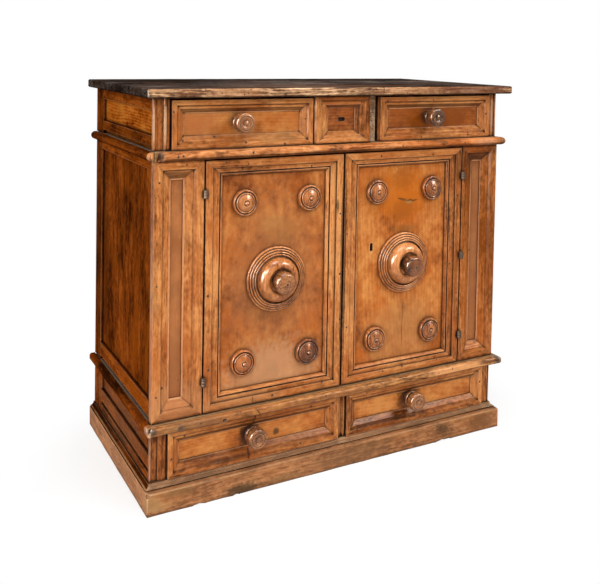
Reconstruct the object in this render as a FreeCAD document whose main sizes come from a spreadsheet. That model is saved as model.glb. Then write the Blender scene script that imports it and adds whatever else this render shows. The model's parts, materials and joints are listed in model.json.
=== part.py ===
import FreeCAD, Part
import math
import os
import Sketcher

# Walnut credenza with two panelled doors, four drawers and turned bosses.
# Millimetres, +Z up, the front looks towards -Y, the origin is under the middle of the whole piece.

Vector = FreeCAD.Vector
doc = FreeCAD.newDocument("credenza")
sheet = doc.addObject("Spreadsheet::Sheet", "dim")


class Size:
    """A length that knows the spreadsheet expression it is worked out from."""

    def __init__(self, value, text):
        self.value = value
        self.text = text

    def __add__(self, other):
        other = as_size(other)
        return Size(self.value + other.value, f"({self.text} + {other.text})")

    def __sub__(self, other):
        other = as_size(other)
        return Size(self.value - other.value, f"({self.text} - {other.text})")

    def __mul__(self, factor):
        return Size(self.value * factor, f"{self.text} * {factor}")

    def __truediv__(self, divisor):
        return Size(self.value / divisor, f"{self.text} / {divisor}")

    def __neg__(self):
        return Size(-self.value, f"(0 - {self.text})")


def as_size(number):
    return number if isinstance(number, Size) else Size(number, str(number))


ZERO = Size(0, "0")
cell_count = 0


def size(alias, millimetres, note):
    """Write one driving dimension into the spreadsheet."""
    global cell_count
    cell_count += 1
    sheet.set(f"A{cell_count}", note)
    sheet.set(f"B{cell_count}", str(millimetres))
    sheet.setAlias(f"B{cell_count}", alias)
    return Size(millimetres, f"dim.{alias}")


# Carcass, from the floor up
body_w = size("body_w", 1080, "width over the corner stiles")
body_d = size("body_d", 530, "depth from the corner stiles to the back")
plinth_h = size("plinth_h", 57, "height of the plinth boards")
base_t = size("base_t", 13, "thickness of the base board")
low_h = size("low_h", 127, "clear height of the lower drawer tier")
floor_t = size("floor_t", 22, "thickness of the cupboard floor")
main_h = size("main_h", 647, "clear height of the cupboard tier")
waist_t = size("waist_t", 24, "thickness of the waist board")
frieze_h = size("frieze_h", 131, "clear height of the frieze tier")
top_t = size("top_t", 24, "thickness of the top board")
side_t = size("side_t", 20, "thickness of the side planks")
strip_t = size("strip_t", 8, "thickness of the strips that frame the side panels")
front_t = size("front_t", 12, "thickness of the corner stiles")
back_t = size("back_t", 12, "thickness of the back boards")

# Plinth, mouldings and top
plinth_t = size("plinth_t", 44, "thickness of the plinth boards")
plinth_front_out = size("plinth_front_out", 30, "plinth ahead of the corner stiles")
plinth_side_out = size("plinth_side_out", 16, "plinth beyond the carcass side")
cove_out = size("cove_out", 13, "projection of the cove on the plinth")
cove_lip = size("cove_lip", 4, "flat lip at the top of the cove")
cove_fillet = size("cove_fillet", 2, "height of the fillets above and below the cove")
floor_front_out = size("floor_front_out", 19, "cupboard floor ahead of the corner stiles")
lower_out = size("lower_out", 17, "projection of the lower moulding")
lower_round = size("lower_round", 7, "rounding of the lower moulding's edges")
waist_front_out = size("waist_front_out", 11, "waist board ahead of the corner stiles")
waist_out = size("waist_out", 18, "projection of the waist moulding")
top_front_out = size("top_front_out", 40, "top board ahead of the corner stiles")
top_side_out = size("top_side_out", 28, "top board beyond the carcass side")
top_round = size("top_round", 6, "rounding of the top board's edges")

# Framing strips of the sides
back_strip_w = size("back_strip_w", 75, "back strip of the frieze and drawer tiers")
main_back_strip_w = size("main_back_strip_w", 60, "back strip of the cupboard tier")
low_sole_h = size("low_sole_h", 18, "strip at the foot of the drawer tier")
strip_groove = size("strip_groove", 11, "open groove under each lower strip")
low_strip_h = size("low_strip_h", 34, "lower strip of the drawer tier")
main_strip_h = size("main_strip_h", 39, "lower strip of the cupboard tier")
main_top_strip_h = size("main_top_strip_h", 23, "upper strip of the cupboard tier")
frieze_strip_h = size("frieze_strip_h", 26, "lower strip of the frieze tier")
frieze_top_strip_h = size("frieze_top_strip_h", 31, "upper strip of the frieze tier")

# Corner stiles and the post between the lower drawers
frieze_left_stile_w = size("frieze_left_stile_w", 42, "left corner stile of the frieze")
frieze_right_stile_w = size("frieze_right_stile_w", 27, "right corner stile of the frieze")
stile_fillet = size("stile_fillet", 5, "outer fillet of a frieze stile")
stile_bead = size("stile_bead", 5, "radius of the bead on a frieze stile")
stile_inner_flat = size("stile_inner_flat", 6, "flat between bead and drawer")
stile_sink = size("stile_sink", 3, "depth of the sunk channels in the stiles")
low_left_stile_w = size("low_left_stile_w", 41, "left corner stile of the drawer tier")
low_right_stile_w = size("low_right_stile_w", 27, "right corner stile of the drawer tier")
low_stile_raised = size("low_stile_raised", 21, "raised face of a lower stile")
low_stile_fillet = size("low_stile_fillet", 3, "outer fillet of a lower stile")
post_w = size("post_w", 20, "width of the post between the lower drawers")
post_shift = size("post_shift", 11, "post to the right of the middle")
post_flute = size("post_flute", 5, "radius of the flute in the post")

# Pilasters and doors
pilaster_w = size("pilaster_w", 131, "width of a pilaster")
pilaster_out = size("pilaster_out", 10, "pilaster ahead of the corner stiles")
pilaster_frame_w = size("pilaster_frame_w", 50, "width of the pilaster moulding")
pilaster_flat = size("pilaster_flat", 22, "outer flat of the pilaster moulding")
pilaster_step = size("pilaster_step", 7, "height of the slope inside the outer flat")
pilaster_step_w = size("pilaster_step_w", 4, "width of that slope")
pilaster_rise = size("pilaster_rise", 20, "height of the pilaster moulding over its panel")
pilaster_slope_w = size("pilaster_slope_w", 19, "width of the pilaster moulding's inner slope")
pilaster_fillet = size("pilaster_fillet", 3, "thin strip inside the pilaster's inner slope")
moulding_foot = size("moulding_foot", 2, "thin inner edge of the panel mouldings")
door_gap = size("door_gap", 4, "joint between a door and its pilaster")
meeting_gap = size("meeting_gap", 6, "joint between the two doors")
door_top_gap = size("door_top_gap", 4, "joint above the doors")
door_foot_gap = size("door_foot_gap", 2, "joint below the doors")
door_out = size("door_out", 10, "door moulding ahead of the corner stiles")
door_frame_w = size("door_frame_w", 50, "width of the upright door moulding")
door_rail_w = size("door_rail_w", 43, "width of the level door moulding")
door_flat = size("door_flat", 20, "outer flat of the door moulding")
door_rise = size("door_rise", 15, "height of the door moulding over the panel")
door_step = size("door_step", 4, "step inside the outer flat of the door moulding")
door_quirk = size("door_quirk", 3, "groove between the band and the inner bead")
door_bead = size("door_bead", 8, "inner bead of the door moulding")
door_t = size("door_t", 16, "thickness of the door panel")

# Turned work on the doors
boss_r = size("boss_r", 86, "radius of a door boss")
boss_edge = size("boss_edge", 5, "height of the boss's outer edge")
boss_bead = size("boss_bead", 6, "width of each fine bead round the boss")
boss_bead_step = size("boss_bead_step", 3, "rise from one fine bead to the next")
boss_ring = size("boss_ring", 4, "width of the boss's thin ring")
boss_groove = size("boss_groove", 1, "depth of the groove inside the thin ring")
boss_cove = size("boss_cove", 6, "radius of the cove at the foot of the boss's torus")
boss_torus_rise = size("boss_torus_rise", 36, "crest of the boss's big torus over the panel")
boss_well_r = size("boss_well_r", 33, "radius of the well round the boss knob")
boss_well_floor = size("boss_well_floor", 20, "floor of the well over the panel")
boss_reach = size("boss_reach", 69, "face of the boss knob over the panel")
boss_neck_r = size("boss_neck_r", 20, "neck of the boss knob")
boss_knob_r = size("boss_knob_r", 29, "radius of the boss knob")
boss_knob_t = size("boss_knob_t", 38, "thickness of the boss knob's head")
boss_shoulder = size("boss_shoulder", 9, "rounding of the boss knob's shoulders")
boss_eye_r = size("boss_eye_r", 3, "small hole in the face of the boss knob")
rosette_r = size("rosette_r", 34, "radius of a rosette")
rosette_edge = size("rosette_edge", 10, "height of a rosette's outer edge")
rosette_rise = size("rosette_rise", 24, "nub of a rosette over the panel")
rosette_rim = size("rosette_rim", 5, "rim bead of a rosette")
rosette_groove = size("rosette_groove", 2, "groove inside the rim bead of a rosette")
rosette_bead = size("rosette_bead", 4, "inner bead of a rosette")
rosette_nub_r = size("rosette_nub_r", 6, "radius of a rosette's nub")
rosette_dome = size("rosette_dome", 18, "height of a rosette's dome")
rosette_side_clear = size("rosette_side_clear", 22, "bare panel between a rosette and the upright moulding")
rosette_end_clear = size("rosette_end_clear", 34.5, "bare panel between a rosette and the level moulding")
turned_shift = size("turned_shift", 6, "turned work to the right of the middle of its door")
turned_drop = size("turned_drop", 3, "turned work below the middle of its door")

# Frieze
lock_panel_w = size("lock_panel_w", 178, "width of the lock panel")
lock_panel_shift = size("lock_panel_shift", -7, "middle of the lock panel from the middle of the piece")
lock_rise = size("lock_rise", 16, "height of the lock panel's moulding")
lock_out = size("lock_out", 12, "lock panel's moulding ahead of the corner stiles")
lock_board_t = size("lock_board_t", 12, "thickness of the lock panel")
lock_stile_w = size("lock_stile_w", 48, "upright sticks of the lock panel's moulding")
lock_rail_w = size("lock_rail_w", 34, "level sticks of the lock panel's moulding")
divider_t = size("divider_t", 20, "thickness of the frieze dividers")
divider_back = size("divider_back", 30, "left divider behind the lock panel")

# Drawers
drawer_gap = size("drawer_gap", 4, "joint beside a drawer front")
drawer_inner_gap = size("drawer_inner_gap", 3, "joint between a drawer front and its middle post")
wide_gap = size("wide_gap", 15, "open joint left of the upper right drawer")
drawer_run = size("drawer_run", 0.5, "running clearance under a drawer")
upper_top_gap = size("upper_top_gap", 6, "joint above an upper drawer front")
lower_top_gap = size("lower_top_gap", 8, "joint above a lower drawer front")
drawer_front_t = size("drawer_front_t", 14, "thickness of a drawer front")
drawer_rise = size("drawer_rise", 16, "height of the drawer moulding")
drawer_out = size("drawer_out", 6, "drawer moulding ahead of the corner stiles")
drawer_frame_w = size("drawer_frame_w", 35, "width of the drawer moulding")
drawer_flat = size("drawer_flat", 13, "outer flat of the drawer moulding")
drawer_step = size("drawer_step", 5, "height of the slope inside the outer flat")
drawer_step_w = size("drawer_step_w", 4, "width of that slope")
drawer_slope_w = size("drawer_slope_w", 11, "width of the drawer moulding's inner slope")
drawer_fillet = size("drawer_fillet", 2, "thin strip inside the drawer's inner slope")
drawer_inset = size("drawer_inset", 12, "drawer side in from the end of its front")
drawer_side_t = size("drawer_side_t", 12, "thickness of drawer sides and backs")
drawer_side_drop = size("drawer_side_drop", 22, "drawer side lower than its front")
drawer_bottom_t = size("drawer_bottom_t", 8, "thickness of a drawer bottom")
drawer_bottom_up = size("drawer_bottom_up", 4, "drawer bottom above the foot of the sides")
drawer_back_gap = size("drawer_back_gap", 44, "room between a drawer and the back boards")
left_knob_shift = size("left_knob_shift", 16, "left-hand drawer knob left of the middle of its front")
right_knob_shift = size("right_knob_shift", 24, "right-hand drawer knob left of the middle of its front")
upper_knob_up = size("upper_knob_up", 4, "upper drawer knob above the middle of its front")
lower_knob_up = size("lower_knob_up", 9, "lower drawer knob above the middle of its front")
knob_reach = size("knob_reach", 58, "face of a drawer knob over its panel")
knob_stem = size("knob_stem", 20, "stem that carries a drawer knob's rose clear of the moulding")
knob_stem_r = size("knob_stem_r", 13, "radius of that stem")
knob_rose_r = size("knob_rose_r", 23, "rose of a drawer knob")
knob_rose_t = size("knob_rose_t", 6, "thickness of the rose")
knob_neck_r = size("knob_neck_r", 10, "neck of a drawer knob")
knob_head_r = size("knob_head_r", 26, "head of a drawer knob")
knob_head_t = size("knob_head_t", 27, "thickness of the head")
knob_round = size("knob_round", 6, "rounding of the head's rim")
knob_ring_r = size("knob_ring_r", 17, "ring turned in the face of the head")
knob_ring_w = size("knob_ring_w", 7, "width of that ring")
knob_nub_r = size("knob_nub_r", 7, "nub in the middle of the face")
knob_ring_d = size("knob_ring_d", 2, "depth and width of the grooves beside the ring")

# Ironwork and inside
hinge_r = size("hinge_r", 6, "radius of a hinge knuckle")
hinge_h = size("hinge_h", 20, "height of a hinge")
hinge_knuckle_h = size("hinge_knuckle_h", 7, "height of the door's knuckle")
hinge_pin_r = size("hinge_pin_r", 2.4, "radius of a hinge pin")
hinge_fit = size("hinge_fit", 0.08, "radial clearance on a hinge pin")
hinge_air = size("hinge_air", 0.3, "clearance between knuckles")
hinge_leaf_t = size("hinge_leaf_t", 1.5, "thickness of a hinge leaf")
hinge_leaf_d = size("hinge_leaf_d", 18, "depth of a hinge leaf behind the pin")
hinge_ahead = size("hinge_ahead", 7, "hinge pin ahead of the door moulding")
hinge_dz = size("hinge_dz", 238, "outer hinges above and below the middle of a door")
door_lock_x = size("door_lock_x", 99, "door keyhole from the meeting edge")
door_lock_dz = size("door_lock_dz", 48, "door keyhole above the middle of the door")
door_key_l = size("door_key_l", 28, "length of the door keyhole")
door_key_w = size("door_key_w", 9, "width of the door keyhole")
frieze_key_l = size("frieze_key_l", 28, "length of the frieze keyhole")
frieze_key_w = size("frieze_key_w", 11, "width of the frieze keyhole")
lock_case_h = size("lock_case_h", 62, "height of a lock case")
lock_case_t = size("lock_case_t", 18, "thickness of a lock case")
lock_case_edge = size("lock_case_edge", 10, "door lock case from the meeting edge")
lock_case_past = size("lock_case_past", 26, "lock case past its keyhole")
bolt_h = size("bolt_h", 14, "height of a lock bolt")
bolt_t = size("bolt_t", 6, "thickness of a lock bolt")
bolt_l = size("bolt_l", 52, "length of a lock bolt")
bolt_nose = size("bolt_nose", 4, "bolt standing out of its case when it is drawn back")
bolt_back = size("bolt_back", 4, "door bolt behind the door's panel")
bolt_play = size("bolt_play", 0.4, "clearance round a lock bolt")
bolt_room = size("bolt_room", 3, "empty channel behind a bolt")
keeper_w = size("keeper_w", 10, "width of the keeper that the frieze bolt catches")
keeper_d = size("keeper_d", 14, "depth of the keeper")
keeper_h = size("keeper_h", 30, "height of the keeper")
shelf_t = size("shelf_t", 18, "thickness of the shelf")
shelf_up = size("shelf_up", 320, "shelf above the cupboard floor")
shelf_set_back = size("shelf_set_back", 60, "shelf behind the corner stiles")
cleat_h = size("cleat_h", 25, "height of a shelf cleat")
cleat_t = size("cleat_t", 20, "thickness of a shelf cleat")

BACK_BOARDS = 5
BOSS_BEADS = 3
FLIPPED = {"left": "right", "right": "left"}

# Where the lock panel's moulding turns: across the stick from its outer edge, and up to its full height
LOCK_EDGE_UP = 0.6
LOCK_CREST_FROM = 0.08
LOCK_CREST_TO = 0.33
LOCK_BAND_FROM = 0.5
LOCK_BAND_TO = 0.74
LOCK_BAND_UP = 0.7
LOCK_SLOPE_UP = 0.56

# Levels and planes that follow from the sizes
half_w = body_w / 2
door_face = door_rise - door_out
front_y = (boss_reach - door_face - body_d) / 2
back_y = front_y + body_d
inner_back_y = back_y - back_t
stile_back_y = front_y + front_t
z_low = plinth_h + base_t
z_floor = z_low + low_h
z_main = z_floor + floor_t
z_waist = z_main + main_h
z_frieze = z_waist + waist_t
z_top = z_frieze + frieze_h
plank_x = half_w - strip_t
inside_x = plank_x - side_t
door_panel_y = front_y + door_face
door_back_y = door_panel_y + door_t
door_outer_x = half_w - pilaster_w - door_gap
door_inner_x = meeting_gap / 2
door_mid_x = (door_outer_x + door_inner_x) / 2
door_z0 = z_main + door_foot_gap
door_z1 = z_waist - door_top_gap
door_mid_z = (door_z0 + door_z1) / 2
rosette_dx = (door_outer_x - door_inner_x) / 2 - door_frame_w - rosette_r - rosette_side_clear
rosette_dz = (door_z1 - door_z0) / 2 - door_rail_w - rosette_r - rosette_end_clear
drawer_face_y = front_y - drawer_out + drawer_rise
drawer_box_y = drawer_face_y + drawer_front_t
drawer_d = inner_back_y - drawer_back_gap - drawer_box_y


def bind(obj, prop, value):
    obj.setExpression(prop, as_size(value).text)


def place(obj, x, y, z, axis=None, degrees=0):
    """Turn an object about its own origin and bind its position."""
    turn = FreeCAD.Rotation(axis or Vector(0, 0, 1), degrees)
    at = [as_size(part) for part in (x, y, z)]
    obj.Placement = FreeCAD.Placement(Vector(*(part.value for part in at)), turn)
    for letter, part in zip("xyz", at):
        bind(obj, f"Placement.Base.{letter}", part)


def board(name, x0, x1, y0, y1, z0, z1):
    """A plain board between six planes."""
    box = doc.addObject("Part::Box", name)
    bind(box, "Length", as_size(x1) - x0)
    bind(box, "Width", as_size(y1) - y0)
    bind(box, "Height", as_size(z1) - z0)
    place(box, x0, y0, z0)
    return box


def mirrored(name, source, axis="x", at=ZERO):
    """The mirror image of an object across a plane square to X or Z."""
    image = doc.addObject("Part::Mirroring", name)
    image.Source = source
    image.Normal = Vector(1, 0, 0) if axis == "x" else Vector(0, 0, 1)
    bind(image, f"Base.{axis}", at)
    return image


def group(name, members):
    """Several separate solids that share one node."""
    compound = doc.addObject("Part::Compound", name)
    compound.Links = members
    return compound


def pair(name, source):
    """A piece and its mirror image on the other side of the credenza."""
    return group(name, [source, mirrored(f"{name}_right", source)])


def new_body(name):
    return doc.addObject("PartDesign::Body", name)


def new_sketch(body, plane, name):
    sketch = body.newObject("Sketcher::SketchObject", name)
    support = [part for part in body.Origin.OriginFeatures if part.Role == plane][0]
    sketch.AttachmentSupport = (support, [""])
    sketch.MapMode = "FlatFace"
    return sketch


def draw(sketch, path):
    """Draw a closed outline with every corner bound to the sheet.

    A corner is (x, y), reached by a straight line, or (x, y, centre_x, centre_y, turn), reached by an
    arc about that centre, where turn is "left" or "right" seen along the outline.
    """
    corners = [tuple(part if part == "left" or part == "right" else as_size(part) for part in corner)
               for corner in path]
    first = sketch.GeometryCount
    ends = []
    for index, corner in enumerate(corners):
        before = corners[index - 1]
        start = Vector(before[0].value, before[1].value, 0)
        finish = Vector(corner[0].value, corner[1].value, 0)
        if len(corner) == 2:
            sketch.addGeometry(Part.LineSegment(start, finish))
            ends.append((1, 2))
            continue
        centre = Vector(corner[2].value, corner[3].value, 0)
        circle = Part.Circle(centre, Vector(0, 0, 1), (start - centre).Length)
        angles = [math.atan2(point.y - centre.y, point.x - centre.x) for point in (start, finish)]
        if corner[4] == "right":
            angles.reverse()
        sketch.addGeometry(Part.ArcOfCircle(circle, *angles))
        ends.append((1, 2) if corner[4] == "left" else (2, 1))
    count = len(corners)
    for index, corner in enumerate(corners):
        following = (index + 1) % count
        piece, end = first + index, ends[index][1]
        sketch.addConstraint(Sketcher.Constraint("Coincident", piece, end, first + following,
                                                 ends[following][0]))
        fix_point(sketch, piece, end, "X", corner[0])
        fix_point(sketch, piece, end, "Y", corner[1])
        if len(corner) > 2:
            before = corners[index - 1]
            run = abs(corner[0].value - before[0].value)
            rise = abs(corner[1].value - before[1].value)
            letter, part = ("X", corner[2]) if rise >= run else ("Y", corner[3])
            fix_point(sketch, piece, 3, letter, part)


def fix_point(sketch, piece, end, letter, part):
    rule = Sketcher.Constraint(f"Distance{letter}", -1, 1, piece, end, part.value)
    number = sketch.addConstraint(rule)
    sketch.setExpression(f"Constraints[{number}]", part.text)


def pad(body, sketch, length):
    feature = body.newObject("PartDesign::Pad", f"{body.Name}_pad")
    feature.Profile = sketch
    bind(feature, "Length", length)
    doc.recompute()
    return feature


def cut_through(body, sketch):
    """Cut a sketch through the whole body, and make sure that it took something away."""
    doc.recompute()
    before = body.Shape.Volume
    feature = body.newObject("PartDesign::Pocket", f"{body.Name}_cut")
    feature.Profile = sketch
    feature.Type = "ThroughAll"
    feature.SideType = "Symmetric"
    doc.recompute()
    if not body.Shape.Volume < before:
        raise RuntimeError(f"{body.Name}: the cut took nothing away")


def turned(name, x, y, z, path):
    """A turned piece: its half profile, as (radius, height), spun about an axis that points to the front."""
    body = new_body(name)
    sketch = new_sketch(body, "XY_Plane", f"{name}_profile")
    draw(sketch, path)
    spin = body.newObject("PartDesign::Revolution", f"{name}_spin")
    spin.Profile = sketch
    spin.ReferenceAxis = (sketch, ["V_Axis"])
    spin.Angle = 360
    place(body, x, y, z, Vector(1, 0, 0), 180)
    return body


def mitred_stick(name, length, width, run, section):
    """A moulding stick along X: section (in from the edge, height), with its ends mitred over a run."""
    body = new_body(name)
    profile = new_sketch(body, "YZ_Plane", f"{name}_section")
    draw(profile, [(-corner[1], corner[0]) + turned_centre(corner) for corner in section])
    pad(body, profile, length)
    mitre = new_sketch(body, "XZ_Plane", f"{name}_mitre")
    draw(mitre, [(ZERO, ZERO), (run, width), (ZERO, width)])
    draw(mitre, [(length, ZERO), (length, width), (length - run, width)])
    cut_through(body, mitre)
    return body


def turned_centre(corner):
    """The centre of a section's arc, laid the same way as its corners."""
    return (-corner[3], corner[2], corner[4]) if len(corner) > 2 else ()


def moulded_frame(name, x0, x1, z0, z1, y_back, rail_w, stile_w, section):
    """Four mitred sticks round a rectangle; section(width) gives the moulding for one stick."""
    rail = mitred_stick(f"{name}_rail", x1 - x0, rail_w, stile_w, section(rail_w))
    place(rail, x0, y_back, z0)
    stile = mitred_stick(f"{name}_stile", z1 - z0, stile_w, rail_w, section(stile_w))
    place(stile, x0, y_back, z1, Vector(0, 1, 0), 90)
    top_rail = mirrored(f"{name}_top_rail", rail, "z", (z0 + z1) / 2)
    far_stile = mirrored(f"{name}_far_stile", stile, "x", (x0 + x1) / 2)
    return group(name, [rail, top_rail, stile, far_stile])


def edge_moulding(name, y_front, z, out, section):
    """Three sticks round the front and both sides, mitred at the front corners."""
    front_l = body_w + out * 2
    front = new_body(f"{name}_front")
    draw_section(front, section)
    pad(front, front.Group[0], front_l)
    corner = new_sketch(front, "XY_Plane", f"{name}_front_mitre")
    draw(corner, [(ZERO, -out), (out, ZERO), (ZERO, ZERO)])
    draw(corner, [(front_l, -out), (front_l, ZERO), (front_l - out, ZERO)])
    cut_through(front, corner)
    place(front, -(half_w + out), y_front, z)
    side_l = back_y - y_front + out
    side = new_body(f"{name}_side")
    draw_section(side, section)
    pad(side, side.Group[0], side_l)
    corner = new_sketch(side, "XY_Plane", f"{name}_side_mitre")
    draw(corner, [(side_l, -out), (side_l, ZERO), (side_l - out, ZERO)])
    cut_through(side, corner)
    place(side, -half_w, back_y, z, Vector(0, 0, 1), -90)
    return group(name, [front, side, mirrored(f"{name}_far_side", side)])


def draw_section(body, section):
    """An edge moulding's section, given as (projection, height), drawn across the stick."""
    sketch = new_sketch(body, "YZ_Plane", f"{body.Name}_section")
    path = []
    for corner in section:
        arc = (-corner[2], corner[3], FLIPPED[corner[4]]) if len(corner) > 2 else ()
        path.append((-corner[0], corner[1]) + arc)
    draw(sketch, path)


def upright(name, x, y, z, height, plan):
    """A piece with one plan outline all the way up."""
    body = new_body(name)
    sketch = new_sketch(body, "XY_Plane", f"{name}_plan")
    draw(sketch, plan)
    pad(body, sketch, height)
    place(body, x, y, z)
    return body


def panel_with_keyhole(name, x0, x1, y0, y1, z0, z1, keyhole):
    """A panel with a hole through it, drawn in the panel's own X and Z from its lower left corner."""
    body = new_body(name)
    face = new_sketch(body, "XY_Plane", f"{name}_face")
    wide, tall = x1 - x0, z1 - z0
    draw(face, [(ZERO, ZERO), (wide, ZERO), (wide, tall), (ZERO, tall)])
    pad(body, face, y1 - y0)
    hole = new_sketch(body, "XY_Plane", f"{name}_keyhole")
    draw(hole, keyhole)
    cut_through(body, hole)
    place(body, x0, y1, z0, Vector(1, 0, 0), 90)
    return body


def lock(name, x0, x1, y, z, bolt_y):
    """A lock case with a channel for its bolt, and the bolt, which shoots towards -X."""
    case = board(f"{name}_block", x0, x1, y, y + lock_case_t, z - lock_case_h / 2, z + lock_case_h / 2)
    bolt_x = x0 - bolt_nose
    bolt_z = z - bolt_h / 2
    channel = board(f"{name}_channel", bolt_x, bolt_x + bolt_l + bolt_room, bolt_y - bolt_play,
                    bolt_y + bolt_t + bolt_play, bolt_z - bolt_play, bolt_z + bolt_h + bolt_play)
    hollow_case = doc.addObject("Part::Cut", f"{name}_case")
    hollow_case.Base = case
    hollow_case.Tool = channel
    bolt = board(f"{name}_bolt", bolt_x, bolt_x + bolt_l, bolt_y, bolt_y + bolt_t, bolt_z, bolt_z + bolt_h)
    return hollow_case, bolt


def cylinder(name, radius, x, y, z0, z1):
    rod = doc.addObject("Part::Cylinder", name)
    bind(rod, "Radius", radius)
    bind(rod, "Height", z1 - z0)
    place(rod, x, y, z0)
    return rod


def fuse(name, members):
    union = doc.addObject("Part::MultiFuse", name)
    union.Shapes = members
    return union


parts = []


def keep(obj, label):
    """Give a finished sub-part the name that its node has."""
    obj.Label = label
    parts.append(obj)
    return obj


# Sections of the mouldings, from the outer edge inwards

def door_section(width):
    band = door_rise - door_step
    bead_x = width - door_bead
    bead_top = moulding_foot + door_bead
    return [(ZERO, ZERO), (width, ZERO), (width, moulding_foot),
            (bead_x, bead_top, bead_x, moulding_foot, "left"),
            (bead_x, band - door_step), (bead_x - door_quirk, band - door_step),
            (bead_x - door_quirk, band), (door_flat, band), (door_flat, door_rise), (ZERO, door_rise)]


def stepped_section(width, flat, rise, step, step_w, slope_w, fillet):
    """An outer flat, a slope down to a band, and a slope down to a thin strip against the panel."""
    slope_x, band = width - fillet, rise - step
    return [(ZERO, ZERO), (width, ZERO), (width, moulding_foot), (slope_x, moulding_foot),
            (slope_x - slope_w, band), (flat + step_w, band), (flat, rise), (ZERO, rise)]


def pilaster_section(width):
    return stepped_section(width, pilaster_flat, pilaster_rise, pilaster_step, pilaster_step_w, pilaster_slope_w,
                           pilaster_fillet)


def drawer_section(width):
    return stepped_section(width, drawer_flat, drawer_rise, drawer_step, drawer_step_w, drawer_slope_w,
                           drawer_fillet)


def lock_section(width):
    """A bold section with its crest near the outer edge; it stretches with the stick so that mitres meet."""
    slope_x, band = width * LOCK_BAND_TO, lock_rise * LOCK_BAND_UP
    return [(ZERO, ZERO), (width, ZERO), (width, moulding_foot), (slope_x, lock_rise * LOCK_SLOPE_UP),
            (slope_x, band), (width * LOCK_BAND_FROM, band), (width * LOCK_CREST_TO, lock_rise),
            (width * LOCK_CREST_FROM, lock_rise), (ZERO, lock_rise * LOCK_EDGE_UP)]


# Plinth and base

plinth_x = half_w + plinth_side_out
plinth_y = front_y - plinth_front_out
keep(board("PlinthFront", -plinth_x, plinth_x, plinth_y, plinth_y + plinth_t, ZERO, plinth_h),
     "plinth_front")
plinth_side = board("PlinthSide", -plinth_x, plinth_t - plinth_x, plinth_y + plinth_t, back_y, ZERO, plinth_h)
keep(pair("PlinthSides", plinth_side), "plinth_sides")
keep(board("PlinthBack", plinth_t - plinth_x, plinth_x - plinth_t, back_y - plinth_t, back_y, ZERO, plinth_h),
     "plinth_back")
keep(board("BaseBoard", -half_w, half_w, front_y, back_y, plinth_h, z_low), "base_board")
cove_foot = [(ZERO, ZERO), (cove_out, ZERO), (cove_out, cove_fillet)]
cove_head = (cove_lip, base_t - cove_fillet, cove_out, base_t - cove_fillet, "right")
keep(edge_moulding("PlinthCove", front_y, plinth_h, cove_out,
                   cove_foot + [cove_head, (cove_lip, base_t), (ZERO, base_t)]), "plinth_cove")

# Tiers of the carcass

def side_planks(name, z0, z1):
    plank = board(f"{name}Left", -plank_x, -inside_x, stile_back_y, inner_back_y, z0, z1)
    return pair(name, plank)


keep(side_planks("LowSides", z_low, z_floor), "low_sides")
keep(side_planks("MainSides", z_main, z_waist), "main_sides")
keep(side_planks("FriezeSides", z_frieze, z_top), "frieze_sides")
keep(board("FloorBoard", -half_w, half_w, front_y - floor_front_out, inner_back_y, z_floor, z_main),
     "floor_board")
keep(board("WaistBoard", -half_w, half_w, front_y - waist_front_out, inner_back_y, z_waist, z_frieze),
     "waist_board")

nose = lower_out - lower_round
keep(edge_moulding("LowerMoulding", front_y - floor_front_out, z_floor, lower_out,
                   [(ZERO, ZERO), (nose, ZERO), (lower_out, lower_round, nose, lower_round, "left"),
                    (lower_out, floor_t - lower_round),
                    (nose, floor_t, nose, floor_t - lower_round, "left"), (ZERO, floor_t)]), "lower_moulding")
waist_r = waist_t / 2
keep(edge_moulding("WaistMoulding", front_y - waist_front_out, z_waist, waist_out,
                   [(ZERO, ZERO), (waist_out - waist_r, ZERO),
                    (waist_out - waist_r, waist_t, waist_out - waist_r, waist_r, "left"), (ZERO, waist_t)]),
     "waist_moulding")

# Strips that frame the side panels

def strip(name, y0, y1, z0, z1):
    return board(f"Strip{name}", -half_w, -plank_x, y0, y1, z0, z1)


back_strip_y = back_y - back_strip_w
main_strip_y = back_y - main_back_strip_w
low_strip_z = z_low + low_sole_h + strip_groove
main_strip_z = z_main + strip_groove
frieze_strip_z = z_frieze + strip_groove
left_strips = group("LeftSideFrame", [
    strip("LowBack", back_strip_y, back_y, z_low, z_floor),
    strip("LowSole", stile_back_y, back_strip_y, z_low, z_low + low_sole_h),
    strip("LowRail", stile_back_y, back_strip_y, low_strip_z, low_strip_z + low_strip_h),
    strip("MainBack", main_strip_y, back_y, z_main, z_waist),
    strip("MainFoot", stile_back_y, main_strip_y, main_strip_z, main_strip_z + main_strip_h),
    strip("MainTop", stile_back_y, main_strip_y, z_waist - main_top_strip_h, z_waist),
    strip("FriezeBack", back_strip_y, back_y, z_frieze, z_top),
    strip("FriezeFoot", stile_back_y, back_strip_y, frieze_strip_z, frieze_strip_z + frieze_strip_h),
    strip("FriezeTop", stile_back_y, back_strip_y, z_top - frieze_top_strip_h, z_top)])
keep(left_strips, "left_side_frame")
keep(mirrored("RightSideFrame", left_strips), "right_side_frame")

# Back and top

back_board_w = plank_x * 2 / BACK_BOARDS
back_boards = [board(f"BackBoard{number}", back_board_w * number - plank_x,
                     back_board_w * (number + 1) - plank_x, inner_back_y, back_y, z_low, z_top)
               for number in range(BACK_BOARDS)]
keep(group("BackBoards", back_boards), "back_boards")

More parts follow.
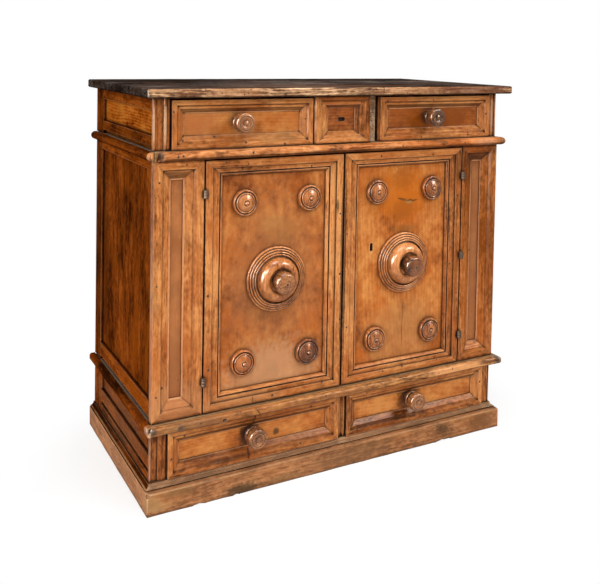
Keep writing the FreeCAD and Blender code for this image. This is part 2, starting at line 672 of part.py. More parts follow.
top_w = body_w + top_side_out * 2
top_d = body_d + top_front_out
top = new_body("TopBoard")
top_plan = new_sketch(top, "XY_Plane", "TopBoard_plan")
draw(top_plan, [(ZERO, ZERO), (top_w, ZERO), (top_w, top_d), (ZERO, top_d)])
top_pad = pad(top, top_plan, top_t)
rounded = []
for number, edge in enumerate(top_pad.Shape.Edges, 1):
    level = edge.BoundBox.ZLength < top_t.value / 2
    if level and edge.CenterOfMass.y < top_d.value - top_round.value:
        rounded.append(f"Edge{number}")
top_fillet = top.newObject("PartDesign::Fillet", "TopBoard_round")
top_fillet.Base = (top_pad, rounded)
bind(top_fillet, "Radius", top_round)
place(top, -(half_w + top_side_out), front_y - top_front_out, z_top)
keep(top, "top_board")

# Corner stiles, post and dividers

def frieze_stile(name, width):
    floor = -(front_t - stile_sink)
    bead_x = width - stile_inner_flat
    plan = [(ZERO, ZERO), (ZERO, -front_t), (stile_fillet, -front_t), (stile_fillet, floor),
            (bead_x - stile_bead * 2, floor), (bead_x, floor, bead_x - stile_bead, floor, "left"),
            (bead_x, -front_t), (width, -front_t), (width, ZERO)]
    return upright(name, -half_w, stile_back_y, z_frieze, frieze_h, plan)


def low_stile(name, width):
    floor = -(front_t - stile_sink)
    raised_x = width - low_stile_raised
    plan = [(ZERO, ZERO), (ZERO, -front_t), (low_stile_fillet, -front_t), (low_stile_fillet, floor),
            (raised_x, floor), (raised_x, -front_t), (width, -front_t), (width, ZERO)]
    return upright(name, -half_w, stile_back_y, z_low, low_h, plan)


right_frieze_stile = mirrored("FriezeRightStile", frieze_stile("FriezeRightBlank", frieze_right_stile_w))
keep(group("FriezeStiles", [frieze_stile("FriezeLeftStile", frieze_left_stile_w), right_frieze_stile]),
     "frieze_stiles")
right_low_stile = mirrored("LowRightStile", low_stile("LowRightBlank", low_right_stile_w))
keep(group("LowStiles", [low_stile("LowLeftStile", low_left_stile_w), right_low_stile]), "low_stiles")

post_x0 = post_shift - post_w / 2
post_x1 = post_x0 + post_w
post_mid = post_w / 2
post_d = inner_back_y - front_y
keep(upright("LowPost", post_x0, front_y, z_low, low_h,
             [(ZERO, ZERO), (post_mid - post_flute, ZERO),
              (post_mid + post_flute, ZERO, post_mid, ZERO, "right"), (post_w, ZERO),
              (post_w, post_d), (ZERO, post_d)]), "low_post")

lock_x0 = lock_panel_shift - lock_panel_w / 2
lock_x1 = lock_x0 + lock_panel_w
lock_face_y = front_y + lock_rise - lock_out
lock_back_y = lock_face_y + lock_board_t
left_divider = board("FriezeLeftDivider", lock_x0, lock_x0 + divider_t, lock_back_y + divider_back,
                     inner_back_y, z_frieze, z_top)
right_divider = board("FriezeRightDivider", lock_x1, lock_x1 + divider_t, front_y, inner_back_y,
                      z_frieze, z_top)
keep(group("FriezeDividers", [left_divider, right_divider]), "frieze_dividers")

# Lock panel in the middle of the frieze, with its lock behind

key_x = lock_panel_w / 2
key_z = frieze_h / 2
key_run = (frieze_key_l - frieze_key_w) / 2
key_r = frieze_key_w / 2
keep(panel_with_keyhole("LockPanel", lock_x0, lock_x1, lock_face_y, lock_back_y, z_frieze, z_top,
                        [(key_x - key_run, key_z - key_r), (key_x + key_run, key_z - key_r),
                         (key_x + key_run, key_z + key_r, key_x + key_run, key_z, "left"),
                         (key_x - key_run, key_z + key_r)]), "lock_panel")
keep(moulded_frame("LockMoulding", lock_x0, lock_x1, z_frieze, z_top, lock_face_y, lock_rail_w, lock_stile_w,
                   lock_section), "lock_panel_moulding")
frieze_bolt_y = drawer_box_y + bolt_play
case, bolt = lock("FriezeLock", lock_x0 + lock_case_edge, lock_panel_shift + lock_case_past, lock_back_y,
                  z_frieze + key_z, frieze_bolt_y)
keep(case, "frieze_lock_case")
keep(bolt, "frieze_lock_bolt")

# Pilasters beside the doors

pilaster_face_y = front_y - pilaster_out + pilaster_rise
pilaster_x1 = pilaster_w - half_w
keep(pair("PilasterBoards", board("PilasterBoard", -half_w, pilaster_x1, pilaster_face_y, stile_back_y,
                                  z_main, z_waist)), "pilaster_boards")
left_pilaster = moulded_frame("LeftPilaster", -half_w, pilaster_x1, z_main, z_waist, pilaster_face_y,
                              pilaster_frame_w, pilaster_frame_w, pilaster_section)
keep(left_pilaster, "left_pilaster_moulding")
keep(mirrored("RightPilaster", left_pilaster), "right_pilaster_moulding")

# Shelf inside the cupboard

shelf_z = z_main + shelf_up
shelf_y = front_y + shelf_set_back
keep(board("Shelf", -inside_x, inside_x, shelf_y, inner_back_y, shelf_z, shelf_z + shelf_t), "shelf")
keep(pair("ShelfCleats", board("ShelfCleat", -inside_x, cleat_t - inside_x, shelf_y, inner_back_y,
                               shelf_z - cleat_h, shelf_z)), "shelf_cleats")

# Hinges: a fixed leaf with a pin on the pilaster, and a leaf with one knuckle on the door

hinge_x = -(door_outer_x + door_gap / 2)
hinge_y = front_y - door_out - hinge_ahead
fixed_leaf_x = -(door_outer_x + door_gap)


def fixed_hinge(name, z):
    members = [cylinder(f"{name}Pin", hinge_pin_r, hinge_x, hinge_y, z - hinge_h / 2, z + hinge_h / 2)]
    inner, outer = hinge_knuckle_h / 2 + hinge_air, hinge_h / 2
    for side, z0, z1 in (("Low", z - outer, z - inner), ("High", z + inner, z + outer)):
        members.append(cylinder(f"{name}{side}Knuckle", hinge_r, hinge_x, hinge_y, z0, z1))
        members.append(board(f"{name}{side}Leaf", fixed_leaf_x, fixed_leaf_x + hinge_leaf_t, hinge_y,
                             hinge_y + hinge_leaf_d, z0, z1))
    return fuse(name, members)


def door_hinge(name, z):
    z0, z1 = z - hinge_knuckle_h / 2, z + hinge_knuckle_h / 2
    knuckle = cylinder(f"{name}Knuckle", hinge_r, hinge_x, hinge_y, z0, z1)
    leaf = board(f"{name}Leaf", -(door_outer_x + hinge_leaf_t), -door_outer_x, hinge_y,
                 hinge_y + hinge_leaf_d, z0, z1)
    bored = doc.addObject("Part::Cut", name)
    bored.Base = fuse(f"{name}Blank", [knuckle, leaf])
    bored.Tool = cylinder(f"{name}Bore", hinge_pin_r + hinge_fit, hinge_x, hinge_y, z0, z1)
    return bored


low_fixed = fixed_hinge("FixedHingeLow", door_mid_z - hinge_dz)
high_fixed = mirrored("FixedHingeHigh", low_fixed, "z", door_mid_z)
middle_fixed = fixed_hinge("FixedHingeMiddle", door_mid_z)
left_fixed = group("LeftFixedHinges", [low_fixed, high_fixed])
keep(group("FixedHinges", [left_fixed, mirrored("RightFixedHinges", left_fixed),
                           mirrored("RightMiddleFixed", middle_fixed)]), "fixed_hinges")
low_hinge = door_hinge("DoorHingeLow", door_mid_z - hinge_dz)
high_hinge = mirrored("DoorHingeHigh", low_hinge, "z", door_mid_z)
left_hinges = group("LeftDoorHinges", [low_hinge, high_hinge])
keep(left_hinges, "left_door_hinges")
middle_hinge = door_hinge("DoorHingeMiddle", door_mid_z)
keep(group("RightDoorHinges", [mirrored("RightOuterHinges", left_hinges),
                               mirrored("RightMiddleHinge", middle_hinge)]), "right_door_hinges")

# Doors: panel, mitred moulding, four rosettes, boss and knob

left_panel = board("LeftDoorPanel", -door_outer_x, -door_inner_x, door_panel_y, door_back_y, door_z0, door_z1)
keep(left_panel, "left_door_panel")
lock_mid_z = door_mid_z + door_lock_dz - door_z0
slot_run = (door_key_l - door_key_w) / 2
slot_r = door_key_w / 2
keep(panel_with_keyhole("RightDoorPanel", door_inner_x, door_outer_x, door_panel_y, door_back_y, door_z0,
                        door_z1, [(door_lock_x - slot_r, lock_mid_z - slot_run),
                                  (door_lock_x + slot_r, lock_mid_z - slot_run),
                                  (door_lock_x + slot_r, lock_mid_z + slot_run),
                                  (door_lock_x - slot_r, lock_mid_z + slot_run, door_lock_x,
                                   lock_mid_z + slot_run, "left")]), "right_door_panel")
left_frame = moulded_frame("LeftDoorMoulding", -door_outer_x, -door_inner_x, door_z0, door_z1, door_panel_y,
                           door_rail_w, door_frame_w, door_section)
keep(left_frame, "left_door_moulding")
keep(mirrored("RightDoorMoulding", left_frame), "right_door_moulding")

turned_x = turned_shift - door_mid_x
turned_z = door_mid_z - turned_drop
rim_x = rosette_r - rosette_rim
inner_x = rim_x - rosette_groove
dome_x = inner_x - rosette_bead
inner_foot = rosette_edge + rosette_groove
groove_z = rosette_edge - moulding_foot
nub_ring = rosette_nub_r + moulding_foot
rosette = turned("Rosette", turned_x - rosette_dx, door_panel_y, turned_z + rosette_dz,
                 [(ZERO, ZERO), (rosette_r, ZERO), (rosette_r, rosette_edge),
                  (rim_x, rosette_edge, rosette_r - rosette_rim / 2, rosette_edge, "left"),
                  (rim_x, groove_z), (inner_x, groove_z), (inner_x, inner_foot),
                  (dome_x, inner_foot, dome_x + rosette_bead / 2, inner_foot, "left"),
                  (nub_ring, rosette_dome, ZERO, rosette_rim - rosette_r, "left"),
                  (nub_ring, rosette_dome - moulding_foot), (rosette_nub_r, rosette_dome - moulding_foot),
                  (rosette_nub_r, rosette_rise - rosette_nub_r),
                  (ZERO, rosette_rise, ZERO, rosette_rise - rosette_nub_r, "left")])
upper_rosettes = group("UpperRosettes", [rosette, mirrored("RosetteTwin", rosette, "x", turned_x)])
lower_rosettes = mirrored("LowerRosettes", upper_rosettes, "z", turned_z)
left_rosettes = group("LeftRosettes", [upper_rosettes, lower_rosettes])
keep(left_rosettes, "left_door_rosettes")
keep(mirrored("RightRosettes", left_rosettes, "x", turned_shift), "right_door_rosettes")

boss_path = [(ZERO, ZERO), (boss_r, ZERO), (boss_r, boss_edge)]
for number in range(BOSS_BEADS):
    bead_edge = boss_r - boss_bead * number
    bead_foot = boss_edge + boss_bead_step * number
    if number:
        boss_path.append((bead_edge, bead_foot))
    boss_path.append((bead_edge - boss_bead, bead_foot, bead_edge - boss_bead / 2, bead_foot, "left"))
ring_foot = boss_edge + boss_bead_step * BOSS_BEADS
ring_x = boss_r - boss_bead * BOSS_BEADS
cove_x = ring_x - boss_ring
cove_z = ring_foot - boss_bead_step - boss_groove
torus_x = cove_x - boss_cove
torus_z = cove_z + boss_cove
crest_x = torus_x - (boss_torus_rise - torus_z)
well_lip = boss_torus_rise - crest_x + boss_well_r
boss_path += [(ring_x, ring_foot), (cove_x, ring_foot, ring_x - boss_ring / 2, ring_foot, "left"), (cove_x, cove_z),
              (torus_x, torus_z, cove_x, torus_z, "right"), (crest_x, boss_torus_rise, crest_x, torus_z, "left"),
              (boss_well_r, well_lip, crest_x, well_lip, "left"), (boss_well_r, boss_well_floor),
              (ZERO, boss_well_floor)]
left_boss = turned("LeftBoss", turned_x, door_panel_y, turned_z, boss_path)
keep(left_boss, "left_door_boss")
keep(mirrored("RightBoss", left_boss, "x", turned_shift), "right_door_boss")

head_z = boss_reach - boss_knob_t
face_edge = boss_reach - boss_eye_r
left_knob = turned("LeftBossKnob", turned_x, door_panel_y, turned_z,
                   [(ZERO, boss_well_floor), (boss_neck_r, boss_well_floor), (boss_neck_r, head_z),
                    (boss_knob_r, head_z + boss_shoulder), (boss_knob_r, face_edge - boss_shoulder),
                    (boss_knob_r - boss_shoulder, face_edge, boss_knob_r - boss_shoulder,
                     face_edge - boss_shoulder, "left"),
                    (boss_eye_r, boss_reach), (boss_eye_r, face_edge), (ZERO, face_edge)])
keep(left_knob, "left_door_knob")
keep(mirrored("RightBossKnob", left_knob, "x", turned_shift), "right_door_knob")

case, bolt = lock("DoorLock", door_inner_x + lock_case_edge, door_inner_x + door_lock_x + lock_case_past,
                  door_back_y, door_mid_z + door_lock_dz, door_back_y + bolt_back)
keep(case, "right_door_lock_case")
keep(bolt, "right_door_lock_bolt")

# Drawers: front, mitred moulding, box and turned knob


def drawer_knob(name, x, z):
    head_foot = knob_reach - knob_head_t
    rim = knob_rose_t / 2
    neck_foot = knob_stem + knob_rose_t
    face = knob_reach - knob_ring_d
    floor = face - knob_ring_d
    return turned(name, x, drawer_face_y, z,
                  [(ZERO, ZERO), (knob_stem_r, ZERO), (knob_stem_r, knob_stem), (knob_rose_r, knob_stem),
                   (knob_rose_r, knob_stem + rim),
                   (knob_rose_r - rim, neck_foot, knob_rose_r - rim, knob_stem + rim, "left"),
                   (knob_neck_r, neck_foot), (knob_neck_r, head_foot), (knob_head_r, head_foot + knob_round),
                   (knob_head_r, face - knob_round),
                   (knob_head_r - knob_round, face, knob_head_r - knob_round, face - knob_round, "left"),
                   (knob_ring_r + knob_ring_d, face), (knob_ring_r + knob_ring_d, floor), (knob_ring_r, floor),
                   (knob_ring_r, face), (knob_ring_r - knob_ring_w, face), (knob_nub_r, floor),
                   (knob_nub_r, face), (ZERO, knob_reach)])


def drawer(name, x0, x1, z0, z1, knob_left, knob_up, fittings=()):
    words = "".join(word.capitalize() for word in name.split("_"))
    keep(board(f"{words}Front", x0, x1, drawer_face_y, drawer_box_y, z0, z1), f"{name}_front")
    keep(moulded_frame(f"{words}Moulding", x0, x1, z0, z1, drawer_face_y, drawer_frame_w, drawer_frame_w,
                       drawer_section), f"{name}_moulding")
    left, right = x0 + drawer_inset, x1 - drawer_inset
    rear, side_top = drawer_box_y + drawer_d, z1 - drawer_side_drop
    within, beyond = left + drawer_side_t, right - drawer_side_t
    bottom_z = z0 + drawer_bottom_up
    keep(group(f"{words}Box", [
        board(f"{words}LeftSide", left, within, drawer_box_y, rear, z0, side_top),
        board(f"{words}RightSide", beyond, right, drawer_box_y, rear, z0, side_top),
        board(f"{words}Back", within, beyond, rear - drawer_side_t, rear, z0, side_top),
        board(f"{words}Bottom", within, beyond, drawer_box_y, rear - drawer_side_t, bottom_z,
              bottom_z + drawer_bottom_t), *fittings]), f"{name}_box")
    keep(drawer_knob(f"{words}Knob", (x0 + x1) / 2 - knob_left, (z0 + z1) / 2 + knob_up), f"{name}_knob")


upper_z = (z_frieze + drawer_run, z_top - upper_top_gap)
lower_z = (z_low + drawer_run, z_floor - lower_top_gap)
upper_left_x1 = lock_x0 - drawer_inner_gap
keeper_x = upper_left_x1 - drawer_inset
keeper_y = frieze_bolt_y + bolt_t + bolt_play
keeper_z = z_frieze + key_z - keeper_h / 2
keeper = board("Keeper", keeper_x, keeper_x + keeper_w, keeper_y, keeper_y + keeper_d, keeper_z,
               keeper_z + keeper_h)
drawer("upper_left_drawer", frieze_left_stile_w + drawer_gap - half_w, upper_left_x1, *upper_z,
       left_knob_shift, upper_knob_up, [keeper])
drawer("upper_right_drawer", lock_x1 + divider_t + wide_gap, half_w - frieze_right_stile_w - drawer_gap, *upper_z,
       right_knob_shift, upper_knob_up)
drawer("lower_left_drawer", low_left_stile_w + drawer_gap - half_w, post_x0 - drawer_inner_gap, *lower_z,
       left_knob_shift, lower_knob_up)
drawer("lower_right_drawer", post_x1 + drawer_inner_gap, half_w - low_right_stile_w - drawer_gap, *lower_z,
       right_knob_shift, lower_knob_up)

# Check everything, then write one file per sub-part

doc.recompute()
for obj in doc.Objects:
    if "Invalid" in obj.State or "Error" in obj.State:
        raise RuntimeError(f"{obj.Name} did not recompute")
for obj in parts:
    if obj.Shape.isNull() or not obj.Shape.isValid():
        raise RuntimeError(f"{obj.Label} has no valid shape")
os.makedirs("parts", exist_ok=True)
whole = FreeCAD.BoundBox()
for obj in parts:
    whole.add(obj.Shape.BoundBox)
    obj.Shape.exportStep(f"parts/{obj.Label}.step")
    print(f"{obj.Label}: {len(obj.Shape.Solids)} solids, {obj.Shape.Volume / 1000:.1f} cm3")
print(f"{len(parts)} sub-parts, {whole.XLength:.1f} x {whole.YLength:.1f} x {whole.ZLength:.1f} mm, "
      f"middle {whole.Center.x:.2f}, {whole.Center.y:.2f}, foot {whole.ZMin:.2f}")
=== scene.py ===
# %% [markdown]
# # A worn walnut credenza
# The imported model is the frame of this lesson: every board, stick and turned piece already has its
# place and size, in metres, with the doors facing -Y. Blender's part is the surface: edges that
# centuries of hands have rounded, grain that runs along each stick, wax, dirt, breaks and nails.

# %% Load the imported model
import json
import math
import random
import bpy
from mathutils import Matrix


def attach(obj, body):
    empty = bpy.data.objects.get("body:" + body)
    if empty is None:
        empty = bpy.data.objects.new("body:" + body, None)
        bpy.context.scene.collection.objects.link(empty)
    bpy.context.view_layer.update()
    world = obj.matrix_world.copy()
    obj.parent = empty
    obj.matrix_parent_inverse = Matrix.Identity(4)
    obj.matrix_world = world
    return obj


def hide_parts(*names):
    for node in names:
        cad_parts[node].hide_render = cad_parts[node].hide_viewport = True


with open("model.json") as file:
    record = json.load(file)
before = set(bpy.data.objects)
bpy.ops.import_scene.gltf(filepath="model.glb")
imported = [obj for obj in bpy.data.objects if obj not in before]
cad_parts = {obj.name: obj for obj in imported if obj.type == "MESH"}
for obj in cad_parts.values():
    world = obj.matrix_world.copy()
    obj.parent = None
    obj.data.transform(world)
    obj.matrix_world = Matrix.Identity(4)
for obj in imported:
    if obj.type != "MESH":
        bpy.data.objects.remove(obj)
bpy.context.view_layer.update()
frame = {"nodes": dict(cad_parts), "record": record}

from types import SimpleNamespace

import bmesh
import bpy
from mathutils import Matrix, Vector, noise
from mathutils.bvhtree import BVHTree

nodes = frame["nodes"]
body_of_node = {node: body for body, members in frame["record"]["behaviour"]["bodies"].items()
                for node in members}
MM = 0.001


def add_object(name, data):
    """A new object in the scene."""
    made = bpy.data.objects.new(name, data)
    bpy.context.scene.collection.objects.link(made)
    return made


# %% [markdown]
# ## Camera
# The photographer stood to the left and aimed almost level, so uprights stay upright and the picture
# was framed by shifting the lens down. The numbers put the corners of the model on the corners in the
# photograph. The Standard view shows every colour as it is written, without a film-like curve on top.

# %% Camera
STANDING_POINT = Vector((-1.1710, -2.1471, 1.1466))
YAW = math.radians(28.228)
PITCH = math.radians(2.116)
ROLL = math.radians(1.005)
LENS_MM, SENSOR_MM = 49.276, 36
LENS_SHIFT = (0.00293, -0.35529)

bpy.context.scene.view_settings.view_transform = "Standard"
ahead = Vector((math.sin(YAW) * math.cos(PITCH), math.cos(YAW) * math.cos(PITCH), -math.sin(PITCH)))
right = Vector((math.cos(YAW), -math.sin(YAW), 0))
above = right.cross(ahead)
rolled_right = math.cos(ROLL) * right + math.sin(ROLL) * above
rolled_up = math.cos(ROLL) * above - math.sin(ROLL) * right
camera = add_object("portrait_camera", bpy.data.cameras.new("portrait_camera"))
turn = Matrix((rolled_right, rolled_up, -ahead)).transposed()
camera.matrix_world = Matrix.Translation(STANDING_POINT) @ turn.to_4x4()
camera.data.lens = LENS_MM
camera.data.sensor_width = SENSOR_MM
camera.data.shift_x, camera.data.shift_y = LENS_SHIFT
bpy.context.scene.camera = camera
print("camera at", [round(value, 3) for value in camera.location])

# %% [markdown]
# ## Nodes and colours
# Every material below is a small graph. One helper adds a node and fills its inputs, and short names on
# top of it stand for the nodes that a wood needs most. Colours are written as they look on a screen, so
# one function turns them linear.

# %% Helpers for materials


def linear(hex_colour):
    """An sRGB hex colour as the linear values that Blender's sockets hold."""
    values = [int(hex_colour[place:place + 2], 16) / 255 for place in (1, 3, 5)]
    return tuple(value / 12.92 if value <= 0.04045 else ((value + 0.055) / 1.055) ** 2.4
                 for value in values) + (1.0,)


def fill(tree, node, inputs):
    """Fill a node's inputs, each with a number, a colour or another node's output."""
    for socket, value in inputs.items():
        if isinstance(value, bpy.types.NodeSocket):
            tree.links.new(value, node.inputs[socket])
        else:
            node.inputs[socket].default_value = value


def add_node(tree, kind, inputs=None, **settings):
    """Add a node to a tree, with its settings and inputs."""
    node = tree.nodes.new(kind)
    for name, value in settings.items():
        setattr(node, name, value)
    fill(tree, node, inputs or {})
    return node


def calc(tree, operation, *values, **settings):
    """What a Math node makes of its values."""
    made = add_node(tree, "ShaderNodeMath", dict(enumerate(values)), operation=operation, **settings)
    return made.outputs[0]


def vector_calc(tree, operation, *values):
    """What a Vector Math node makes of its values."""
    made = add_node(tree, "ShaderNodeVectorMath", dict(enumerate(values)), operation=operation)
    return made.outputs["Value" if operation == "LENGTH" else "Vector"]


def stretched(tree, place, scale):
    """Coordinates multiplied by a factor for each axis."""
    return add_node(tree, "ShaderNodeMapping", {"Vector": place, "Scale": scale}).outputs[0]


def fuzz(tree, place, size_mm, detail, roughness=0.5):
    """Noise from 0 to 1 whose lumps are about as large as the size in millimetres."""
    return add_node(tree, "ShaderNodeTexNoise",
                    {"Vector": place, "Scale": 1 / (size_mm * MM), "Detail": detail,
                     "Roughness": roughness}).outputs["Fac"]


def mapped(tree, value, start, end, low, high, curve="LINEAR"):
    """A value whose stretch from start to end is laid on low to high."""
    return add_node(tree, "ShaderNodeMapRange", {0: value, 1: start, 2: end, 3: low, 4: high},
                    interpolation_type=curve).outputs[0]


def mixed(tree, share, below, above):
    """One colour laid over another by a share."""
    return add_node(tree, "ShaderNodeMix", {0: share, 6: below, 7: above}, data_type="RGBA").outputs[2]


def new_material(name):
    """A material with its node tree and its main shader."""
    material = bpy.data.materials.new(name)
    material.use_nodes = True
    tree = material.node_tree
    return material, tree, tree.nodes["Principled BSDF"]


# %% [markdown]
# ## Studio
# The piece was photographed on white. The world is white only to the camera and to reflections, and
# lights the object gently. The floor is a pale board that fades into that white a little way off, so
# it keeps the soft contact shadow and shows no horizon.

# %% World and floor
FILL_STRENGTH = 0.21
world = bpy.data.worlds.new("white_studio")
bpy.context.scene.world = world
world.use_nodes = True
sky = world.node_tree
sky.nodes.clear()
path = add_node(sky, "ShaderNodeLightPath").outputs
seen = calc(sky, "MAXIMUM", path["Is Camera Ray"], path["Is Glossy Ray"])
seen = calc(sky, "MAXIMUM", seen, path["Is Transmission Ray"])
soft_fill = add_node(sky, "ShaderNodeBackground", {"Color": linear("#fff6ec"), "Strength": FILL_STRENGTH})
white = add_node(sky, "ShaderNodeBackground", {"Color": (1, 1, 1, 1), "Strength": 1.0})
either = add_node(sky, "ShaderNodeMixShader", {0: seen, 1: soft_fill.outputs[0], 2: white.outputs[0]})
add_node(sky, "ShaderNodeOutputWorld", {"Surface": either.outputs[0]})

# The floor fades out in an oval, from where it still glows a little to where it is all white
OVAL = (0.78, 1.15, 0)
FADE_START, FADE_END, LEAST_GLOW = 0.4, 0.66, 0.72
floor_material, tree, shader = new_material("studio_board_pale_matt")
fill(tree, shader, {"Base Color": linear("#f4f1ec"), "Roughness": 0.9})
spot = add_node(tree, "ShaderNodeTexCoord").outputs["Object"]
far = vector_calc(tree, "LENGTH", vector_calc(tree, "MULTIPLY", spot, OVAL))
fade = mapped(tree, far, FADE_START, FADE_END, LEAST_GLOW, 1.0, "SMOOTHSTEP")
glow = add_node(tree, "ShaderNodeEmission", {"Color": (1, 1, 1, 1), "Strength": 1.0})
seen = add_node(tree, "ShaderNodeLightPath").outputs["Is Camera Ray"]
share = calc(tree, "MULTIPLY", fade, seen)
floor_mix = add_node(tree, "ShaderNodeMixShader", {0: share, 1: shader.outputs[0], 2: glow.outputs[0]})
fill(tree, tree.nodes["Material Output"], {"Surface": floor_mix.outputs[0]})

FLOOR_HALF = 8.0
FLOOR_DROP = 0.2 * MM
floor_mesh = bpy.data.meshes.new("studio_floor")
corners = [(x * FLOOR_HALF, y * FLOOR_HALF, -FLOOR_DROP) for x, y in ((-1, -1), (1, -1), (1, 1), (-1, 1))]
floor_mesh.from_pydata(corners, [], [(0, 1, 2, 3)])
floor_mesh.materials.append(floor_material)
floor = add_object("studio_floor", floor_mesh)
print("floor", FLOOR_HALF * 2, "m square")

# %% [markdown]
# Two soft lamps stand in front, one to each side, because every boss in the photograph carries two
# highlights. One overhead lights the ledges. Two warm windows and a wide reflector at the far left draw
# the broad highlights on wax: on turned work, on ledges and on every slope that faces left. They are
# hidden from diffuse rays, so they add shine without adding light.

# %% Lamps
# Place, target, width and height in metres, and watts
LAMPS = {"left_softbox": ((-2.7, -3.2, 2.3), (-0.1, -0.2, 0.6), (0.6, 0.6), 74),
         "right_softbox": ((2.3, -2.9, 2.7), (0.1, -0.2, 0.6), (0.6, 0.6), 52),
         "overhead_softbox": ((-0.2, -0.9, 3.2), (0.0, -0.2, 0.6), (1.4, 1.0), 74),
         "left_window": ((-2.4, -2.6, 2.3), (0.0, -0.2, 0.6), (1.2, 1.2), 200),
         "right_window": ((2.2, -2.6, 2.5), (0.0, -0.2, 0.6), (1.2, 1.2), 180),
         "left_reflector": ((-3.0, -0.1, 1.3), (0.0, -0.1, 0.7), (3.0, 1.8), 1500)}
SHINE_ONLY = ("left_window", "right_window", "left_reflector")
WARM_SHINE = linear("#ffe8d2")[:3]
for name, (place, target, (wide, tall), watts) in LAMPS.items():
    lamp = bpy.data.lights.new(name, "AREA")
    lamp.shape = "RECTANGLE"
    lamp.size, lamp.size_y = wide, tall
    lamp.energy = watts
    lamp_object = add_object(name, lamp)
    lamp_object.location = place
    aim = Vector(target) - Vector(place)
    lamp_object.rotation_euler = aim.to_track_quat("-Z", "Y").to_euler()
    if name in SHINE_ONLY:
        lamp.color = WARM_SHINE
        lamp_object.visible_diffuse = False
print("lamps", ", ".join(LAMPS))

# %% [markdown]
# ## Marks of one place
# Some marks belong to one spot of this piece: a plug let into a drawer, a split, and also painted shade
# as a dark halo round a knob or along a gap, and painted highlights on beads. Each is an ellipsoid given by
# its middle, half sizes and turn. A Mapping node of the Texture kind brings the surface into the
# ellipsoid's own space, where the distance from the middle says how strong the mark is, and a noise makes
# its rim ragged.

# %% How a mark is laid
# Lumps of the ragged rim, how far they reach, and where a mark ends and is full, in its own half sizes
RIM_MM, RAGGED, MARK_ENDS, MARK_FULL = 11, 0.9, 1.45, 0.85


def add_marks(tree, colour, marks):
    """Lay marks over a colour: middle and half sizes in mm, tint, strength, and a turn in degrees if any."""
    spot = add_node(tree, "ShaderNodeTexCoord").outputs["Object"]
    rim = fuzz(tree, spot, RIM_MM, 3)
    for middle, half, tint, strength, *turn in marks:
        near = add_node(tree, "ShaderNodeMapping",
                        {"Vector": spot, "Location": Vector(middle) * MM, "Scale": Vector(half) * MM,
                         "Rotation": (0, math.radians(sum(turn)), 0)}, vector_type="TEXTURE")
        far = vector_calc(tree, "LENGTH", near.outputs[0])
        ragged = calc(tree, "MULTIPLY_ADD", rim, RAGGED, far)
        cover = mapped(tree, ragged, MARK_ENDS, MARK_FULL, 0.0, strength, "SMOOTHSTEP")
        colour = mixed(tree, cover, colour, linear(tint))
    return colour


# %% Stains, plugs and splits of doors, drawers and frames, with painted shade round knobs and gaps and painted highlights on the frieze stiles
# X runs to the right and Z up
PANEL_Y, STILE_Y, MOULDING_Y, LEDGE_Y = -226, -233, -240, -268


def on_plane(y, marks):
    """Marks whose middles are given by X and Z alone, set on an upright plane."""
    return [((x, y, z), *rest) for (x, z), *rest in marks]


PANEL_MARKS = on_plane(PANEL_Y, [
    ((-247, 652), (10, 20, 5), "#5b3416", 0.7),
    ((-190, 668), (85, 20, 50), "#86602f", 0.4, 20),
    ((-250, 560), (90, 20, 110), "#84491d", 0.45),
    ((200, 740), (150, 20, 100), "#b25c04", 0.75),
    ((313, 953), (190, 30, 70), "#864200", 0.75),
    ((474, 545), (80, 40, 400), "#6c2e00", 0.9),
    ((-474, 545), (70, 40, 400), "#8a4a1e", 0.4),
    ((-204, 540), (210, 30, 340), "#9c6a44", 0.35),
    ((-420, 953), (80, 30, 80), "#b97c4c", 0.4),
    ((-215, 455), (95, 20, 30), "#8a5a30", 0.35),
    ((204, 720), (24, 20, 4), "#3d2c12", 0.85, 14),
    ((228, 711), (16, 20, 8), "#9c7c46", 0.8),
    ((230, 716), (14, 20, 3), "#33240f", 0.9, -10),
    ((246, 714), (20, 20, 3), "#3d2c12", 0.85, -6),
    ((208, 690), (55, 20, 40), "#8a4a12", 0.5),
    ((205, 780), (50, 20, 45), "#8f4e17", 0.45),
    ((212, 634), (60, 20, 16), "#7c5222", 0.5),
    ((-204, 290), (200, 30, 110), "#bd9069", 0.6),
    ((206, 330), (170, 30, 120), "#a87848", 0.45),
    ((213, 350), (1.6, 20, 95), "#3a1c0b", 0.8, 1),
    ((102, 589), (8, 20, 19), "#c79a6c", 0.7),
    ((-187, 123), (12, 20, 12), "#3f2814", 0.85, 45),
    # Painted shade: dark halos round the two lower knobs
    ((-266, 130), (44, 30, 46), "#33190a", 0.85),
    ((236, 134), (42, 30, 44), "#3d2110", 0.75),
    ((266, 150), (28, 30, 20), "#4a2c14", 0.8, 30),
    ((120, 98), (120, 30, 14), "#4a2a12", 0.6),
    ((-257, 120), (2, 30, 70), "#2a1408", 0.9, 4),
])
